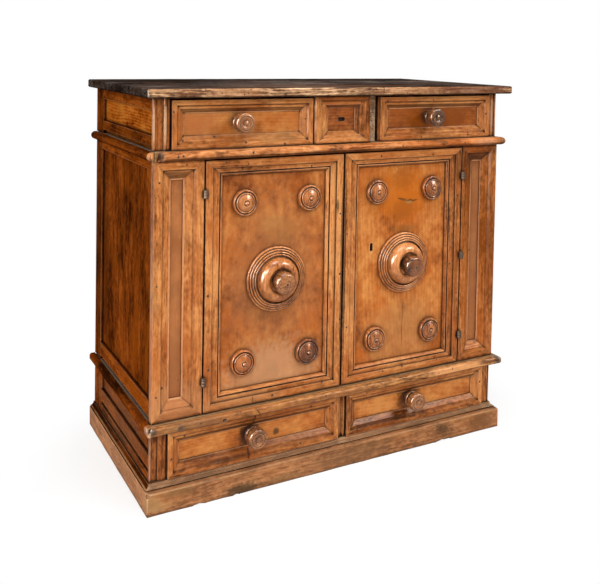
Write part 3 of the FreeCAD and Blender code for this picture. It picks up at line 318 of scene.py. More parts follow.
MOULDING_MARKS = on_plane(MOULDING_Y, [
    ((-267, 232), (3.5, 20, 12), "#2a1409", 0.95),
    ((-174, 221), (16, 20, 3), "#1f0f07", 0.9),
    ((-258, 172), (3.4, 20, 34), "#1c0d06", 0.95, 8),
    ((-273, 92), (5, 20, 26), "#1c0d06", 0.95),
    ((-506, 1001), (6, 20, 9), "#3a2412", 0.9),
    ((474, 545), (100, 40, 400), "#8c4600", 0.45),
    # Painted shade: darker edges along the gap between the doors
    ((6, 540), (5, 30, 400), "#2a1408", 0.8),
    ((-5, 540), (4, 30, 400), "#2a1408", 0.8),
    ((-20, 720), (7, 20, 24), "#3a2c14", 0.8),
    # Painted shade widening the dark gap beside the left door
    ((-407, 560), (5, 30, 380), "#1c0d06", 0.85),
    ((396, 800), (14, 20, 60), "#4a2c10", 0.5),
    ((-474, 262), (110, 40, 70), "#a5744e", 0.5),
    ((-250, 130), (330, 40, 80), "#7a4420", 0.5),
    ((-300, 235), (130, 40, 26), "#a8764c", 0.5),
    ((392, 520), (10, 20, 200), "#6a3a14", 0.4),
    ((160, 88), (150, 40, 9), "#3a2210", 0.6),
    ((-330, 84), (120, 40, 8), "#3e2614", 0.5),
]) + on_plane(STILE_Y, [
    # Painted highlights along the beads of the frieze stiles
    ((-509, 955), (6, 20, 60), "#dcb48a", 0.65),
    ((-538, 955), (4, 20, 60), "#cfa882", 0.7),
    ((528, 955), (14, 20, 70), "#d6a684", 0.6),
])
print("marks on the doors and drawers", len(PANEL_MARKS) + len(MOULDING_MARKS))

# %% Stains and rubbed spots of ledges, side, plinth and top
WAIST_MARKS = [
    ((-532, -258, 879), (16, 40, 18), "#2a1a10", 0.9),
    ((560, -262, 878), (34, 40, 14), "#5a3a26", 0.8),
    ((480, -262, 878), (60, 40, 14), "#c48a64", 0.5),
    ((-60, -262, 870), (160, 40, 9), "#6a381a", 0.5),
    ((-360, -262, 869), (120, 40, 8), "#6a381a", 0.5),
]
LEDGE_MARKS = on_plane(LEDGE_Y, [
    ((390, 208), (150, 30, 20), "#d89a62", 0.75),
    ((554, 210), (34, 60, 22), "#352e28", 0.9),
    ((-60, 206), (220, 30, 14), "#7a4a28", 0.55),
    ((-440, 208), (120, 30, 20), "#6e4c32", 0.6),
    ((-475, 207), (12, 25, 7), "#463b33", 0.9),
    ((-356, 205), (9, 25, 6), "#4a3322", 0.85, 10),
    ((-259, 205), (2.6, 30, 18), "#1c0d06", 0.95, -35),
    ((-101, 203), (14, 25, 6), "#5d3a38", 0.6),
    ((264, 198), (16, 25, 6), "#4a2a18", 0.8),
    ((-546, 211), (16, 25, 12), "#3d342c", 0.9),
    ((500, 212), (40, 25, 8), "#5a3016", 0.8),
])
SIDE_MARKS = [
    ((-540, 30, 130), (30, 330, 80), "#8a6248", 0.4),
    # Darker towards the back of the side
    ((-540, 240, 540), (40, 110, 380), "#3a1c0a", 0.55),
]
PLINTH_MARKS = [
    ((-297, -265, 70), (22, 30, 9), "#30271f", 0.9),
    ((-334, -265, 68), (16, 30, 7), "#4a3f33", 0.85),
    ((-407, -265, 66), (12, 30, 7), "#473a2d", 0.8),
    ((-181, -265, 67), (14, 30, 6), "#43342a", 0.8),
    ((-300, -270, 12), (75, 30, 22), "#3c3020", 0.8),
    ((-180, -270, 14), (90, 30, 14), "#5a4428", 0.5),
    ((-470, -270, 46), (70, 30, 14), "#5f4a2e", 0.5),
    ((-520, -270, 18), (50, 30, 14), "#a88258", 0.4),
    ((90, -270, 44), (120, 30, 10), "#6a4c2c", 0.5),
    ((348, -270, 34), (40, 30, 22), "#46321f", 0.75, 20),
    ((490, -270, 30), (80, 30, 34), "#5a3a22", 0.6),
    ((545, -262, 64), (60, 40, 12), "#2a2421", 0.85),
    ((400, -265, 66), (150, 30, 12), "#3e3028", 0.65),
    ((60, -265, 66), (160, 30, 10), "#5a3e28", 0.65),
    ((20, -270, 25), (200, 30, 30), "#76563a", 0.5),
    ((-540, -255, 30), (30, 40, 30), "#9b7c52", 0.5),
]
TOP_EDGE_MARKS = [
    ((420, -273, 1033), (200, 20, 30), "#5a2f1c", 0.75),
    ((-567, -272, 1034), (7, 8, 16), "#cdb79c", 0.8),
    ((104, -273, 1034), (2, 6, 16), "#1a0d07", 0.9, 4),
]
TOP_MARKS = [
    ((-60, -190, 1045), (430, 75, 20), "#63422e", 0.5),
    ((-380, 170, 1045), (330, 130, 20), "#18110d", 0.75),
    ((260, 190, 1045), (380, 100, 20), "#1e1612", 0.65),
]
print("marks on the ledges", len(WAIST_MARKS) + len(LEDGE_MARKS), "and the plinth", len(PLINTH_MARKS))

# %% [markdown]
# ## Walnut
# Old walnut shows, from large to small: clouds of lighter, darker and redder wood, growth rings that a
# flat board cuts into long arcs, and fibres that streak along the stick. On top of the wood come the
# marks of age: dark dirt where a cloth never reached, pale bare wood on the arrises, worm holes, and
# wax. Painted shade joins the dirt in creases, joints and on undersides. The pattern reads two attributes
# of the mesh: grain, whose X runs along the fibres, and tone. One table holds the usual look, so that each
# finish further down only says where it differs.

# %% The usual look of waxed walnut
LOOK = {
    # Wax: dullness, strength of the reflection, and a thin clear coat with its own dullness
    "rough": 0.42, "specular": 0.1, "coat": 0.0, "coat_rough": 0.22,
    # Dirt and painted shade: strength, reach into the open, how open is clean, how closed is black, and
    # share on undersides
    "grime": 0.95, "grime_mm": 14, "clean": 0.9, "deep": 0.42, "under": 0.7,
    # Arrises rubbed bare: strength and width; worm holes: share, spacing and width
    "wear": 0.5, "wear_mm": 3, "worm": 0.3, "worm_mm": 24, "hole_mm": 1.6,
    # Shares of the figure: rings, clouds (their size and how they are drawn out), fibres and flecks
    "rings": 0.12, "clouds": 1.9, "cloud_mm": 120, "puff_along": 0.45, "streak": 1.0, "fleck": 0.9,
    # Blackened stains and their size, the height of the relief, and the marks of one place
    "blotch": 0.0, "stain_mm": 110, "relief_mm": 0.7, "marks": (),
}
# How the patterns are drawn out along the fibres
FIBRES, SLANT, FLECK_SHAPE = (7, 250, 250), (0.09, 1, 1), (0.4, 1, 1)
WANDER_WAVES, WANDER_REACH, HALF = (1.6, 6, 6), (0, 0.05, 0.05), (0.5, 0.5, 0.5)
METRE_MM = 1000
RING_MM, YEAR_MM, YEAR_SWAY_MM = 9, 60, 40
MOTTLE_MM, FLECK_MM, FLAME_MM, DENT_MM = 22, 6, 80, 28
MOTTLE_SHARE, TONE_SHARE, CONTRAST = 1.1, 0.3, 0.42
# Stretches of a noise: where heartwood turns red and by how much, and where polish went black
RED_FROM, RED_TO, RED_SHARE, BLACK_FROM, BLACK_TO = 0.46, 0.68, 0.6, 0.52, 0.72
# Colour of dirt together with painted shade, of blackened polish and of worm holes
SOILING_AND_SHADE_TINT, BLACK_POLISH, HOLE_DARK = "#170b06", "#1a0d07", "#120905"
print("look", len(LOOK), "values")

# %% [markdown]
# The figure is a sum. Rings are the sine of the distance from the heart of the tree, which a board cuts at
# a slant. Fibres are a noise drawn out along the grain, coarser than real pores so that they show. Clouds,
# mottle and flecks are rounder noises of three sizes. The sum picks a colour between dark and light.

# %% Figure and colour of the wood


def fibre_space(tree):
    """A point's place in its stick, X along the fibres: as cut, and with fibres that wander a little."""
    cut = add_node(tree, "ShaderNodeAttribute", attribute_name="grain").outputs["Vector"]
    slow = stretched(tree, cut, WANDER_WAVES)
    wander = add_node(tree, "ShaderNodeTexNoise", {"Vector": slow, "Scale": 1, "Detail": 2}).outputs["Color"]
    centred = vector_calc(tree, "SUBTRACT", wander, HALF)
    return cut, vector_calc(tree, "ADD", cut, vector_calc(tree, "MULTIPLY", centred, WANDER_REACH))


def wood_figure(tree, look, bent, puff, fibre):
    """How light the wood is, from 0 to 1."""
    slant = vector_calc(tree, "MULTIPLY", bent, SLANT)
    radius = calc(tree, "MULTIPLY_ADD", fuzz(tree, slant, YEAR_MM, 3), YEAR_SWAY_MM * MM,
                  vector_calc(tree, "LENGTH", slant))
    ring = calc(tree, "SINE", calc(tree, "MULTIPLY", radius, 2 * math.pi / (RING_MM * MM)))
    cloud = fuzz(tree, puff, look.cloud_mm, 5, 0.6)
    mottle = fuzz(tree, puff, MOTTLE_MM, 4, 0.65)
    flecks = fuzz(tree, stretched(tree, bent, FLECK_SHAPE), FLECK_MM, 2)
    tone = add_node(tree, "ShaderNodeAttribute", attribute_name="tone").outputs["Fac"]
    total = calc(tree, "MULTIPLY", fibre, look.streak)
    for value, share in ((ring, look.rings * 0.5), (cloud, look.clouds), (mottle, MOTTLE_SHARE),
                         (flecks, look.fleck), (tone, TONE_SHARE)):
        total = calc(tree, "MULTIPLY_ADD", value, share, total)
    usual = 0.5 * (look.streak + look.clouds + MOTTLE_SHARE + look.fleck)
    return mapped(tree, total, usual - CONTRAST, usual + CONTRAST, 0.0, 1.0)


def wood_colour(tree, look, lightness, puff, flame, colours):
    """Dark to light wood, with redder heartwood in patches and old blackened polish."""
    light, middle, dark, ruddy = (linear(colour) for colour in colours)
    ramp = add_node(tree, "ShaderNodeValToRGB", {0: lightness})
    ramp.color_ramp.elements[0].color = dark
    ramp.color_ramp.elements[1].color = light
    ramp.color_ramp.elements.new(0.5).color = middle
    warm = mapped(tree, flame, RED_FROM, RED_TO, 0.0, RED_SHARE, "SMOOTHSTEP")
    wood = mixed(tree, warm, ramp.outputs["Color"], ruddy)
    patches = fuzz(tree, puff, look.stain_mm, 6, 0.7)
    stain = mapped(tree, patches, BLACK_FROM, BLACK_TO, 0.0, look.blotch, "SMOOTHSTEP")
    return mixed(tree, stain, wood, linear(BLACK_POLISH))


# %% [markdown]
# Ambient Occlusion measures how shut in a point is: seen from outside it finds the corners and joints,
# which are darkened with dirt and painted shade, and from inside it finds thin edges, the arrises that
# hands rub bare. Whatever faces down is darkened too, with painted shade and dirt. A Voronoi cell holds at
# most one worm hole, and only some cells have one.

# %% Dirt and painted shade, rubbed edges and worm holes
AO_SAMPLES = 8
# Where faces pointing down start and end being darkened, by painted shade and dirt, and the gain of all
# darkening
FACING_DOWN, FACING_UNDER, DARKENING_GAIN = -0.15, -0.55, 1.9
FULL_EDGE, THIN_EDGE, SHUT_IN, PROUD, PROUD_GAIN = 0.82, 0.45, 0.86, 0.99, 1.8


def soiling_and_shade(tree, look, fibre):
    """How much dirt and painted shade darken a point, broken up by the fibres, and how open it lies."""
    openness = add_node(tree, "ShaderNodeAmbientOcclusion", {"Distance": look.grime_mm * MM},
                        samples=AO_SAMPLES).outputs["AO"]
    # Corners, creases and joints are darkened: dirt and painted shade
    crease_soiling_and_shade = mapped(tree, openness, look.clean, look.deep, 0.0, look.grime)
    # Faces that point down are darkened too: painted shade, with some dirt
    normal = add_node(tree, "ShaderNodeNewGeometry").outputs["Normal"]
    upward = add_node(tree, "ShaderNodeSeparateXYZ", {0: normal}).outputs["Z"]
    below = mapped(tree, upward, FACING_DOWN, FACING_UNDER, 0.0, look.under)
    uneven = calc(tree, "MULTIPLY", calc(tree, "MAXIMUM", crease_soiling_and_shade, below), fibre)
    return calc(tree, "MULTIPLY", uneven, DARKENING_GAIN, use_clamp=True), openness


def rubbing(tree, look, openness, flame):
    """How bare an arris is rubbed: in patches, and only where it stands proud."""
    thin = add_node(tree, "ShaderNodeAmbientOcclusion", {"Distance": look.wear_mm * MM},
                    samples=AO_SAMPLES, inside=True).outputs["AO"]
    rub = mapped(tree, thin, FULL_EDGE, THIN_EDGE, 0.0, look.wear)
    proud = mapped(tree, openness, SHUT_IN, PROUD, 0.0, PROUD_GAIN)
    return calc(tree, "MULTIPLY", calc(tree, "MULTIPLY", rub, flame), proud, use_clamp=True)


def worm_holes(tree, look, cut):
    """One where a worm came out, in loose families."""
    cells = add_node(tree, "ShaderNodeTexVoronoi", {"Vector": cut, "Scale": 1 / (look.worm_mm * MM)})
    width = look.hole_mm / look.worm_mm
    pit = mapped(tree, cells.outputs["Distance"], width, width / 2, 0.0, 1.0)
    family = calc(tree, "GREATER_THAN", cells.outputs["Color"], 1 - look.worm)
    return calc(tree, "MULTIPLY", pit, family)


# %% [markdown]
# Wax lies smoother on clear wood than where dirt and painted shade darken it, so roughness follows the
# fibres and that darkening. Plane marks, raised fibres and holes are too fine for geometry and go into a
# bump.

# %% Wax, and the whole material
# Where most of a noise lies, how much smoother and duller wax gets along it, and dullness where dirt and
# painted shade lie
NOISE_LOW, NOISE_HIGH, SMOOTHER, DULLER, DARKENING_DULL = 0.3, 0.7, 0.07, 0.09, 0.3
DENT_SHARE, HOLE_SHARE, RELIEF_STRENGTH = 1.3, -2.0, 0.5


def wax(tree, look, shader, cut, fibre, soiled_and_shaded_share, hole):
    """Gloss and fine relief of the surface."""
    gloss = mapped(tree, fibre, NOISE_LOW, NOISE_HIGH, look.rough - SMOOTHER, look.rough + DULLER)
    duller = calc(tree, "MULTIPLY_ADD", soiled_and_shaded_share, DARKENING_DULL, gloss, use_clamp=True)
    relief = calc(tree, "MULTIPLY_ADD", fuzz(tree, cut, DENT_MM, 3), DENT_SHARE, fibre)
    relief = calc(tree, "MULTIPLY_ADD", hole, HOLE_SHARE, relief)
    bump = add_node(tree, "ShaderNodeBump", {"Strength": RELIEF_STRENGTH, "Distance": look.relief_mm * MM,
                                             "Height": relief})
    fill(tree, shader, {"Roughness": duller, "Specular IOR Level": look.specular, "Coat Weight": look.coat,
                        "Coat Roughness": look.coat_rough, "Normal": bump.outputs[0]})


def walnut(name, light, middle, dark, ruddy, bare, **changes):
    """Waxed walnut: four wood colours, the bare colour of rubbed edges, and where it differs from LOOK."""
    look = SimpleNamespace(**{**LOOK, **changes})
    material, tree, shader = new_material(name)
    cut, bent = fibre_space(tree)
    fibre = fuzz(tree, stretched(tree, bent, FIBRES), METRE_MM, 6, 0.66)
    puff = stretched(tree, bent, (look.puff_along, 1, 1))
    flame = fuzz(tree, puff, FLAME_MM, 4)
    lightness = wood_figure(tree, look, bent, puff, fibre)
    colour = wood_colour(tree, look, lightness, puff, flame, (light, middle, dark, ruddy))
    colour = add_marks(tree, colour, look.marks)
    soiled_and_shaded_share, openness = soiling_and_shade(tree, look, fibre)
    # Dirt and painted shade darken creases, joints and undersides
    colour = mixed(tree, soiled_and_shaded_share, colour, linear(SOILING_AND_SHADE_TINT))
    colour = mixed(tree, rubbing(tree, look, openness, flame), colour, linear(bare))
    hole = worm_holes(tree, look, cut)
    colour = mixed(tree, hole, colour, linear(HOLE_DARK))
    fill(tree, shader, {"Base Color": colour})
    wax(tree, look, shader, cut, fibre, soiled_and_shaded_share, hole)
    return material


# %% [markdown]
# ## Finishes
# One kind of timber, worn in a dozen ways. Each comment says what the finish gives the eye.

# %% Walnut and poplar
FINISHES = {
    # Broad and calm, honey brown with soft clouds, darkened towards every frame by painted shade and dirt
    "panel": walnut(
        "walnut_waxed_honey", "#cb8746", "#ab6229", "#733912", "#ad5814", "#d39c68", rough=0.4, coat=0.03,
        grime_mm=24, wear=0.3, cloud_mm=110, puff_along=0.9, streak=0.3, fleck=0.1, blotch=0.12,
        marks=PANEL_MARKS),
    # Streaky sticks with creases blackened by dirt and painted shade, and pale edges
    "moulding": walnut(
        "walnut_waxed_moulding", "#cf8d52", "#ab6835", "#5c3012", "#a4561f", "#e4b48c", rough=0.3,
        specular=0.075, coat=0.02, grime=1.0, grime_mm=9, clean=0.96, deep=0.62, wear=0.45, blotch=0.5,
        stain_mm=60, marks=MOULDING_MARKS),
    # The round waist, dull and spotted where arms lean on it
    "waist": walnut(
        "walnut_rubbed_waist", "#da9862", "#b26e3c", "#5a2e14", "#a9591f", "#e0b088", rough=0.5,
        specular=0.05, grime=1.0, grime_mm=8, streak=1.8, blotch=0.7, stain_mm=26,
        worm=0.5, worm_mm=16, relief_mm=1.2, marks=WAIST_MARKS),
    # A pale raw strip beside the lock panel
    "strip": walnut(
        "walnut_bare_strip", "#d8c6b2", "#a88a6e", "#54402f", "#96704c", "#e0cdb8", rough=0.6, specular=0.05,
        grime_mm=6, blotch=0.6, stain_mm=20),
    # The lower ledge, kicked and rubbed to pale fibres with dark spots
    "ledge": walnut(
        "walnut_rubbed_ledge", "#c0854c", "#95602f", "#44260f", "#925628", "#e0b48c", rough=0.36, coat=0.03,
        specular=0.14, clouds=1.0, streak=1.8, fleck=1.4, grime_mm=6, wear=0.6, wear_mm=6, blotch=0.8,
        stain_mm=30, worm=0.6, worm_mm=14, marks=LEDGE_MARKS),
    # The side, a deep red brown that hardly shines
    "side": walnut(
        "walnut_dark_side", "#a2561c", "#743810", "#361806", "#88440f", "#d09a6c", rough=0.5, specular=0.0,
        grime_mm=7, clean=0.96, deep=0.6, wear=1.0, blotch=0.8, cloud_mm=90, marks=SIDE_MARKS),
    # A golden plank with strong rings in the side of the frieze
    "frieze_side": walnut(
        "walnut_figured_frieze", "#c87a2c", "#a25216", "#5e2808", "#a8560e", "#c08448", rough=0.5,
        specular=0.0, blotch=0.5, cloud_mm=60, rings=0.3),
    # The top, blackened by use and dead matt
    "top": walnut(
        "walnut_blackened_top", "#786a60", "#4a403b", "#1a1310", "#4c3a30", "#7a6452", rough=0.6,
        specular=0.0, blotch=0.5, worm=0.5, marks=TOP_MARKS),
    # Its front edge, pale and pitted by worm
    "top_edge": walnut(
        "walnut_pitted_top_edge", "#e2bc96", "#b48c66", "#4e3222", "#a06c46", "#d8b48c", rough=0.6,
        specular=0.05, grime_mm=6, wear=0.3, cloud_mm=25, puff_along=0.3, streak=2.2, blotch=0.3,
        stain_mm=12, worm=0.6, worm_mm=12, hole_mm=2.2, relief_mm=2.0, marks=TOP_EDGE_MARKS),
    # The plinth, washed with the floor for centuries: greyer, dry and coarse
    "plinth": walnut(
        "walnut_scrubbed_plinth", "#bd8a5e", "#a06d46", "#70482c", "#a06a3e", "#dcb890", rough=0.62,
        specular=0.06, wear=0.9, wear_mm=6, clouds=0.9, streak=1.5, fleck=1.0, blotch=0.3,
        stain_mm=45, worm=0.6, relief_mm=1.6, marks=PLINTH_MARKS),
    # Turned work, smooth and bright, with a dark line of dirt and painted shade in every groove
    "turned": walnut(
        "walnut_turned_polished", "#cf8b54", "#ac6834", "#5c2c10", "#a85a1e", "#ecbe92", rough=0.27,
        specular=0.28, coat=0.08, coat_rough=0.15, under=0.3, worm=0.1, grime=1.0, grime_mm=6, clean=0.97,
        deep=0.55, wear=0.9, wear_mm=2, relief_mm=0.1),
    # Knobs, darkened and polished by hands
    "knob": walnut(
        "walnut_knob_handled", "#a87044", "#7a4926", "#2e190c", "#7a431f", "#d0a078", rough=0.24,
        specular=0.32, coat=0.1, coat_rough=0.12, under=0.4, worm=0.2, grime=1.0, wear=0.6, wear_mm=2),
    # Bare poplar inside, pale and dusty
    "inside": walnut(
        "poplar_bare_inside", "#b58e63", "#94704a", "#6a4c2f", "#94683e", "#c9a57b", rough=0.65, wear=0.3),
}
FINISHES["cove"] = FINISHES["plinth"]
print("woods", len(FINISHES))

# %% Iron, and the slots of all finishes
# Forged iron, almost black with brown rust in its scale, so that it reads as a dark dot with a dull glint
SCALE_MM, SCALE_RISE_MM, SCALE_STRENGTH = 5, 0.5, 0.4
METAL_SHARE, SHINY, RUSTY = 0.6, 0.45, 0.8
iron, tree, shader = new_material("iron_forged_dark")
scale_noise = fuzz(tree, add_node(tree, "ShaderNodeTexCoord").outputs["Object"], SCALE_MM, 5)
rust = add_node(tree, "ShaderNodeValToRGB", {0: scale_noise})
rust.color_ramp.elements[0].color = linear("#1c1815")
rust.color_ramp.elements[1].color = linear("#4a3a2e")
dull = mapped(tree, scale_noise, NOISE_LOW, NOISE_HIGH, SHINY, RUSTY)
bump = add_node(tree, "ShaderNodeBump", {"Strength": SCALE_STRENGTH, "Distance": SCALE_RISE_MM * MM,
                                         "Height": scale_noise})
fill(tree, shader, {"Base Color": rust.outputs["Color"], "Metallic": METAL_SHARE, "Roughness": dull,
                    "Normal": bump.outputs[0]})
FINISHES["iron"] = iron
print("finishes", ", ".join(FINISHES))

# %% [markdown]
# ## Worn copies of the boards
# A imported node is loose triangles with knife-sharp edges. Each one is copied, welded and freed of the
# lines inside its flat faces. Cuts across the grain every few centimetres give its edges points, and
# each point is pressed in by up to two millimetres so that no arris is dead straight. A Bevel
# modifier then rounds every arris by its own weight, because hands and brooms wear some stretches more
# than others. Wear takes wood away, so the worn piece keeps to the space of the exact one, give or take
# a fraction of a millimetre.

# %% Solids of a node
ARRIS_ANGLE = math.radians(25)


def welded_solids(data):
    """A bmesh of a node's loose triangles, welded solid by solid, so that sticks that touch stay apart."""
    mesh = bmesh.new()
    corners, open_edges = {}, set()
    for face in data.polygons:
        places = [tuple(data.vertices[index].co) for index in face.vertices]
        for start, end in zip(places, places[1:] + places[:1]):
            if (end, start) in open_edges:
                open_edges.remove((end, start))
            elif start != end:
                open_edges.add((start, end))
        for place in places:
            if place not in corners:
                corners[place] = mesh.verts.new(place)
        ring = [corners[place] for place in places]
        if len(set(ring)) == len(ring):
            mesh.faces.new(ring)
        if not open_edges:
            corners = {}
    return mesh


def span(solid, axis):
    """Where a solid starts and ends along an axis."""
    places = [vertex.co[axis] for vertex in solid]
    return min(places), max(places)


def islands(mesh):
    """The separate solids of a mesh, as lists of vertices."""
    waiting = set(mesh.verts)
    found = []
    while waiting:
        stack = [waiting.pop()]
        solid = []
        while stack:
            vertex = stack.pop()
            solid.append(vertex)
            for edge in vertex.link_edges:
                other = edge.other_vert(vertex)
                if other in waiting:
                    waiting.remove(other)
                    stack.append(other)
        found.append(solid)
    return sorted(found, key=lambda solid: [round(span(solid, axis)[0], 4) for axis in range(3)])


def is_arris(edge):
    """Whether an edge is sharp enough to be worn round."""
    return len(edge.link_faces) == 2 and edge.calc_face_angle(0) > ARRIS_ANGLE


def grain_axes(solid, along=None):
    """The solid's axes from longest to shortest; a turned piece names its own fibre direction."""
    ends = [span(solid, axis) for axis in range(3)]
    order = sorted(range(3), key=lambda axis: ends[axis][0] - ends[axis][1])
    if along is not None:
        order.remove(along)
        order.insert(0, along)
    return order


def flesh(solid):
    """A solid's vertices, edges and faces, as bmesh operators want them."""
    edges = {edge for vertex in solid for edge in vertex.link_edges}
    faces = {face for vertex in solid for face in vertex.link_faces}
    return [*solid, *edges, *faces]


# %% [markdown]
# Some wear goes deeper than an edge. The left end of the waist moulding broke off along a plane, and bites
# are missing from the ledge, the plinth and the top. A break is a Bisect whose wound is closed again; a
# bite is a lumpy ball that a Boolean modifier takes away, one solid at a time.

# %% Cuts, breaks and bites
LUMPINESS, LUMP_WAVES, LUMP_STEP = 0.4, 1.9, 7


def cut_across(mesh, spacing):
    """Cut every solid across its length each few centimetres."""
    for solid in islands(mesh):
        axis = grain_axes(solid)[0]
        low, high = span(solid, axis)
        pieces = int((high - low) / spacing)
        geometry = flesh(solid)
        for number in range(1, pieces):
            point, normal = Vector(), Vector()
            point[axis] = low + (high - low) * number / pieces
            normal[axis] = 1
            geometry = bmesh.ops.bisect_plane(mesh, geom=geometry, plane_co=point, plane_no=normal)["geom"]


def break_off(mesh, axis, point, normal):
    """Break off what lies beyond a plane, on the solids that run along an axis, and close the wound."""
    for solid in islands(mesh):
        if grain_axes(solid)[0] == axis:
            cut = bmesh.ops.bisect_plane(mesh, geom=flesh(solid), plane_co=Vector(point) * MM,
                                         plane_no=Vector(normal), clear_outer=True)["geom_cut"]
            wound = [part for part in cut if isinstance(part, bmesh.types.BMEdge)]
            if wound:
                bmesh.ops.holes_fill(mesh, edges=wound, sides=0)


def as_mesh(name, mesh):
    """A bmesh as the mesh of an object."""
    data = bpy.data.meshes.new(name)
    mesh.to_mesh(data)
    mesh.free()
    return data


def baked(made):
    """The mesh that an object's modifiers make of it; the object itself goes."""
    data = bpy.data.meshes.new_from_object(made.evaluated_get(bpy.context.evaluated_depsgraph_get()))
    made.modifiers.clear()
    bpy.data.objects.remove(made)
    return data


def knock_out(mesh, bites):
    """Take rough bites out of every solid: middles and half sizes in millimetres."""
    lumps = bmesh.new()
    for number, (middle, half) in enumerate(bites):
        for vertex in bmesh.ops.create_icosphere(lumps, subdivisions=2, radius=1)["verts"]:
            lump = 1 + LUMPINESS * noise.noise(vertex.co * LUMP_WAVES + Vector((number * LUMP_STEP, 0, 0)))
            vertex.co = Vector([(middle[axis] + vertex.co[axis] * half[axis] * lump) * MM
                                for axis in range(3)])
    stones = add_object("stones", as_mesh("stones", lumps))
    bitten = bmesh.new()
    for solid in islands(mesh):
        single = bmesh.new()
        copies = {vertex: single.verts.new(vertex.co) for vertex in solid}
        for face in mesh.faces:
            if face.verts[0] in copies:
                single.faces.new([copies[vertex] for vertex in face.verts])
        whole = add_object("whole", as_mesh("whole", single))
        knock = whole.modifiers.new("bites", "BOOLEAN")
        knock.object = stones
        knock.operation = "DIFFERENCE"
        bitten.from_object(whole, bpy.context.evaluated_depsgraph_get())
        bpy.data.objects.remove(whole)
    bpy.data.objects.remove(stones)
    mesh.free()
    return bitten


# %% [markdown]
# Every stick was sawn from its own stretch of timber: grain holds a point's place in the log, with X along
# the longest side of the stick, and tone how light the stick is. Pieces that stand out in the photograph
# have a tone of their own; the others draw one by lot with a fixed seed.

# %% Grain, tone and the body that a piece rides on
# Where a stick lay in the log, along it and from its heart, in metres; how far a tone drawn by lot goes
LOG_REACH, HEART_NEAR, HEART_FAR = 3, 0.05, 0.3
TONE_REACH, TONE_SWAY = 0.8, 0.2


def mark_grain(mesh, seed, along=None, shade=None):
    """Give every solid its own stretch of timber, as the attributes grain and tone."""
    grain = mesh.verts.layers.float_vector.new("grain")
    tone = mesh.verts.layers.float.new("tone")
    chance = random.Random(seed)
    for solid in islands(mesh):
        order = grain_axes(solid, along)
        shift = Vector((chance.uniform(-LOG_REACH, LOG_REACH), chance.uniform(HEART_NEAR, HEART_FAR),
                        chance.uniform(HEART_NEAR, HEART_FAR)))
        own = (chance.uniform(-TONE_REACH, TONE_REACH) if shade is None
               else shade + chance.uniform(-TONE_SWAY, TONE_SWAY))
        for vertex in solid:
            vertex[grain] = Vector([vertex.co[axis] for axis in order]) + shift
            vertex[tone] = own


def add_piece(name, data, node, finish):
    """Hang a finished mesh on the body of the node that it stands for."""
    data.materials.clear()
    data.materials.append(FINISHES[finish])
    if node in PATCHES:
        other, belongs = PATCHES[node]
        data.materials.append(FINISHES[other])
        for face in data.polygons:
            face.material_index = 1 if belongs(face) else 0
    piece = add_object(name, data)
    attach(piece, body_of_node[node])
    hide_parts(node)
    dressed.setdefault(body_of_node[node], []).append(piece)


# %% [markdown]
# Wear follows how the piece stood and was used, so it is kept in tables under the names of the nodes:
# patches of another finish, breaks, bites and tones.

# %% What is worn where
X_AXIS, Y_AXIS, Z_AXIS = 0, 1, 2
LEFT_SIDE, FRONT_PLANE = -0.5405, -0.233
FORWARD, UPWARD = -0.35, 0.7


def on_left_side(face):
    """Whether a face stands out from the left side."""
    return face.center.x < LEFT_SIDE and face.center.y > FRONT_PLANE


# The front edge of the top is rubbed and pitted, and the sticks round the left side went dark with it
PATCHES = {"top_board": ("top_edge", lambda face: face.normal.y < FORWARD),
           "waist_moulding": ("side", on_left_side),
           "lower_moulding": ("side", on_left_side),
           "plinth_sides": ("side", lambda face: face.normal.z > UPWARD),
           "plinth_cove": ("side", on_left_side)}
dressed = {}
# Axis of the broken sticks, a point of the break in millimetres and the way it faces
BREAKS = {"waist_moulding": [(X_AXIS, (-530, -250, 880), (-0.93, -0.25, 0.25))]}
BITES = {
    "lower_moulding": [((470, -276, 222), (62, 14, 12)), ((264, -271, 196), (15, 9, 8)),
                       ((-356, -272, 205), (9, 6, 5)), ((-556, -270, 221), (14, 12, 9)),
                       ((-174, -270, 221), (16, 7, 5))],
    "plinth_front": [((-420, -264, -1), (16, 7, 5)), ((-318, -264, -1), (9, 6, 5)),
                     ((350, -264, -1), (34, 7, 6)), ((-557, -264, 56), (10, 10, 8))],
    "top_board": [((-305, -274, 1021), (14, 5, 4)), ((-90, -274, 1020), (20, 5, 4)),
                  ((250, -274, 1046), (12, 5, 4)), ((-569, -274, 1046), (12, 9, 7))],
}
# Tone of the pieces that stand out, from dark to light
SHADES = {"left_door_panel": -0.3, "right_door_panel": 0.2, "upper_left_drawer_front": 0.5,
          "upper_right_drawer_front": -1.3, "lock_panel": -1.0, "lower_left_drawer_front": 0.0,
          "lower_right_drawer_front": 0.6, "pilaster_boards": -1.8, "right_pilaster_moulding": -0.8,
          "left_pilaster_moulding": 0.5, "waist_moulding": 0.2, "low_stiles": -0.8,
          "plinth_cove": -1.5, "left_door_knob": -0.4, "right_door_knob": -0.4,
          "left_door_rosettes": -0.7, "right_door_rosettes": -0.7}
print("patches", len(PATCHES), "bites", sum(map(len, BITES.values())), "shades", len(SHADES))

# %% [markdown]
# The steps in order: weld, break, cut, bite, press, weigh the arrises and round them.

# %% The worn copy of a node
FLAT_ANGLE, BOARD_SHARP, LATHE_SHARP = math.radians(0.5), math.radians(30), math.radians(55)
LONG_ENOUGH = 8 * MM
PRESS_WAVES, ROUNDING_WAVES = 23, 17
MIDDLE_WEIGHT, WEIGHT_SWAY = 0.6, 0.4


def bevelled(data, bevel_mm):
    """Round the weighted edges of a mesh; Weighted Normal keeps its broad faces looking flat."""
    welded = add_object("welded", data)
    bevel = welded.modifiers.new("worn_arrises", "BEVEL")
    bevel.limit_method = "WEIGHT"
    bevel.width = bevel_mm * MM
    bevel.segments = 2
    bevel.use_clamp_overlap = False
    welded.modifiers.new("flat_faces", "WEIGHTED_NORMAL").keep_sharp = False
    return baked(welded)


